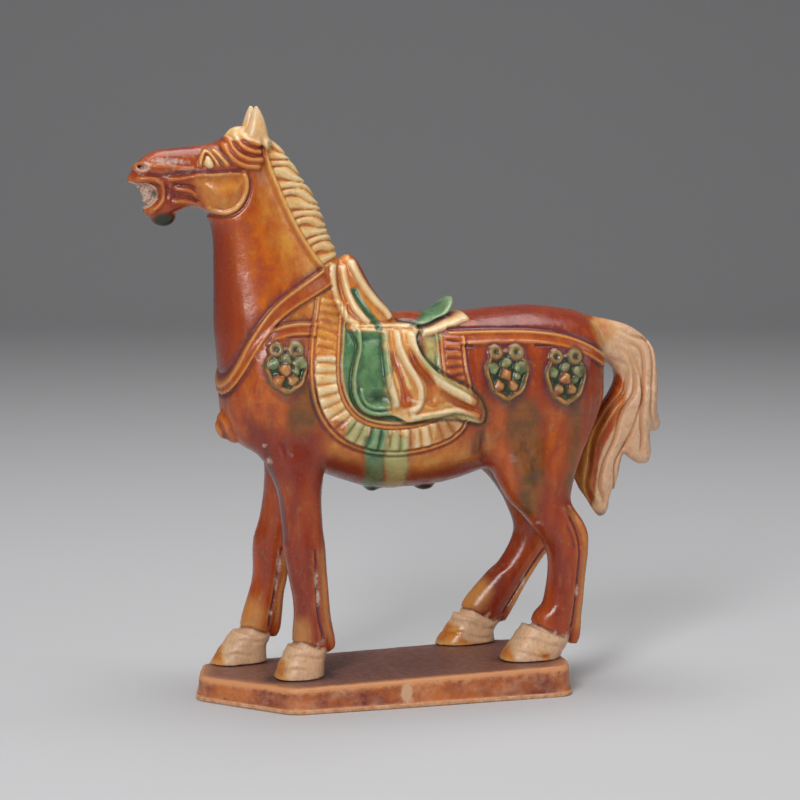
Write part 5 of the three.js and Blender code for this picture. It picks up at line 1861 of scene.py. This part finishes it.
def horse_material():
    material, wiring, shader = new_material("sancai glaze")
    streaks = wiring.use(MOTTLING, Fineness=80, Upright=0.22)
    clouds = wiring.use(MOTTLING, Fineness=190, Upright=0.7)
    holes = wiring.use(PINHOLES, Fineness=280, Radius=0.12)
    even, clouded, pooled, thin = GLAZES["brown"]
    skin = wiring.mix(even, clouded, streaks)
    for name in COATS:
        cover = where(wiring, name)
        colours = GLAZES[name]
        skin = wiring.mix(skin, wiring.mix(colours[0], colours[1], clouds), cover)
        pooled = wiring.mix(pooled, colours[2], cover)
        thin = wiring.mix(thin, colours[3], cover)
    skin = wiring.mix(skin, pooled, wiring.reckon("MULTIPLY", where(wiring, "sunk"), 0.75))
    skin = wiring.mix(skin, thin, wiring.reckon("MULTIPLY", where(wiring, "proud"), 0.7))
    tints = {name: where(wiring, name) for name in TINTS}
    # the dark tint, and the thick-glaze tint in recesses, lay painted shade over the glazes
    for name, mask in tints.items():
        skin = wiring.mix(skin, TINT_COLOURS[name], mask)
    grime = wiring.use(MOTTLING, Fineness=900, Upright=0.5)
    speckle = wiring.reckon("MULTIPLY", wiring.reckon("MULTIPLY", grime, grime), 0.3)
    skin = wiring.mix(skin, SPECKLE, wiring.reckon("MULTIPLY", speckle, tints["biscuit"]))
    skin = wiring.mix(skin, TINT_COLOURS["dark"], wiring.reckon("MULTIPLY", holes, 0.6))
    wiring.feed(shader.inputs["Base Color"], skin)
    gloss = wiring.between(clouds, 0.2, 0.34)
    unglazed = wiring.reckon("MAXIMUM", tints["bare"], wiring.reckon("MULTIPLY", tints["biscuit"], 0.6))
    wiring.feed(shader.inputs["Roughness"], wiring.reckon("MULTIPLY_ADD", unglazed, 0.35, gloss, clamp=False))
    skin_bump(wiring, shader, holes, 0.0001)
    return material


horse.data.materials.append(horse_material())

SLAB_TOP = ((0.25, 0.104, 0.076), (0.21, 0.084, 0.06))
SLAB_SIDE = ((0.2, 0.032, 0.018), (0.54, 0.15, 0.03), (0.62, 0.36, 0.23))
SLAB_RIM = (0.7, 0.31, 0.13)
# glaze pooled round the hooves, with a painted contact shadow
SLAB_POOL_AND_SHADOW = (0.07, 0.032, 0.032)
SLAB_LIP = ((0.66, 0.38, 0.22), (0.5, 0.22, 0.09))


def base_material():
    material, wiring, shader = new_material("slab glaze")
    blotches = wiring.use(MOTTLING, Fineness=70, Upright=1)
    specks = wiring.use(MOTTLING, Fineness=420, Upright=1)
    wear = wiring.use(MOTTLING, Fineness=150, Upright=2)
    holes = wiring.use(PINHOLES, Fineness=300, Radius=0.12)
    skin = wiring.mix(*SLAB_TOP, specks)
    # the pools round the hooves carry painted contact shadow
    skin = wiring.mix(skin, SLAB_POOL_AND_SHADOW, where(wiring, "glaze_pool_and_shadow"))
    side = wiring.mix(SLAB_SIDE[0], SLAB_SIDE[1], blotches)
    worn = wiring.reckon("MULTIPLY", wear, wiring.reckon("MULTIPLY", specks, 0.45))
    side = wiring.mix(side, SLAB_SIDE[2], worn)
    skin = wiring.mix(skin, side, where(wiring, "side"))
    skin = wiring.mix(skin, SLAB_RIM, wiring.reckon("MULTIPLY", where(wiring, "edge"), 0.85))
    skin = wiring.mix(skin, SLAB_LIP[0], where(wiring, "spot"))
    lip = where(wiring, "lip")
    skin = wiring.mix(skin, wiring.mix(*SLAB_LIP, specks), lip)
    skin = wiring.mix(skin, TINT_COLOURS["dark"], wiring.reckon("MULTIPLY", holes, 0.6))
    wiring.feed(shader.inputs["Base Color"], skin)
    gloss = wiring.between(specks, 0.34, 0.5)
    wiring.feed(shader.inputs["Roughness"], wiring.reckon("MULTIPLY_ADD", lip, 0.3, gloss, clamp=False))
    skin_bump(wiring, shader, holes, 0.0002)
    return material


base.data.materials.append(base_material())


# Studio

SWEEP_HALF = 3.2
SWEEP_FRONT = -3.2
SWEEP_BACK = 1.7                 # where the floor starts to curve up
SWEEP_RADIUS = 1.1
SWEEP_TOP = 3.0
SWEEP_BENDS = 25
SWEEP_COLOUR = (0.55, 0.55, 0.56, 1)
SWEEP_ROUGHNESS = 0.75
# Each light's place, aim, size and power
LIGHTS = {
    "key": ((-0.8, -1.15, 0.9), (0, 0, 0.14), (0.4, 0.9), 16),
    "fill": ((1.1, -0.9, 0.6), (0, 0, 0.12), (0.8, 0.8), 3),
    "top": ((0.1, 0.1, 1.3), (0, 0, 0.1), (1.1, 0.8), 12),
}
SKY_COLOUR = (0.9, 0.9, 0.92, 1)
SKY_STRENGTH = 0.12


def make_floor():
    """A pale floor that curves up into a backdrop, square to the camera."""
    bend = np.linspace(0, math.pi / 2, SWEEP_BENDS)
    profile = [(SWEEP_FRONT, 0)]
    profile += [(SWEEP_BACK + SWEEP_RADIUS * math.sin(a), SWEEP_RADIUS * (1 - math.cos(a))) for a in bend]
    profile += [(SWEEP_BACK + SWEEP_RADIUS, SWEEP_TOP)]
    points = []
    for away, height in profile:
        for across in (-SWEEP_HALF, SWEEP_HALF):
            x = away * math.sin(CAMERA_TURN) + across * math.cos(CAMERA_TURN)
            y = away * math.cos(CAMERA_TURN) - across * math.sin(CAMERA_TURN)
            points.append((x, y, height))
    faces = [(2 * k, 2 * k + 1, 2 * k + 3, 2 * k + 2) for k in range(len(profile) - 1)]
    mesh = bpy.data.meshes.new("floor")
    mesh.from_pydata(points, [], faces)
    mesh.shade_smooth()
    floor = put_in_scene("floor", mesh)
    material, _, shader = new_material("pale backdrop")
    shader.inputs["Base Color"].default_value = SWEEP_COLOUR
    shader.inputs["Roughness"].default_value = SWEEP_ROUGHNESS
    mesh.materials.append(material)


def area_light(name, place, aim, size, power):
    data = bpy.data.lights.new(name, "AREA")
    data.shape = "RECTANGLE"
    data.size, data.size_y = size
    data.energy = power
    light = put_in_scene(name, data)
    light.location = place
    light.rotation_euler = facing(Vector(aim) - Vector(place))


def make_sky():
    world = bpy.data.worlds.new("studio")
    world.use_nodes = True
    background = world.node_tree.nodes["Background"]
    background.inputs["Color"].default_value = SKY_COLOUR
    background.inputs["Strength"].default_value = SKY_STRENGTH
    bpy.context.scene.world = world


make_floor()
for name, light in LIGHTS.items():
    area_light(name, *light)
make_sky()
bpy.context.scene.view_settings.view_transform = "Standard"
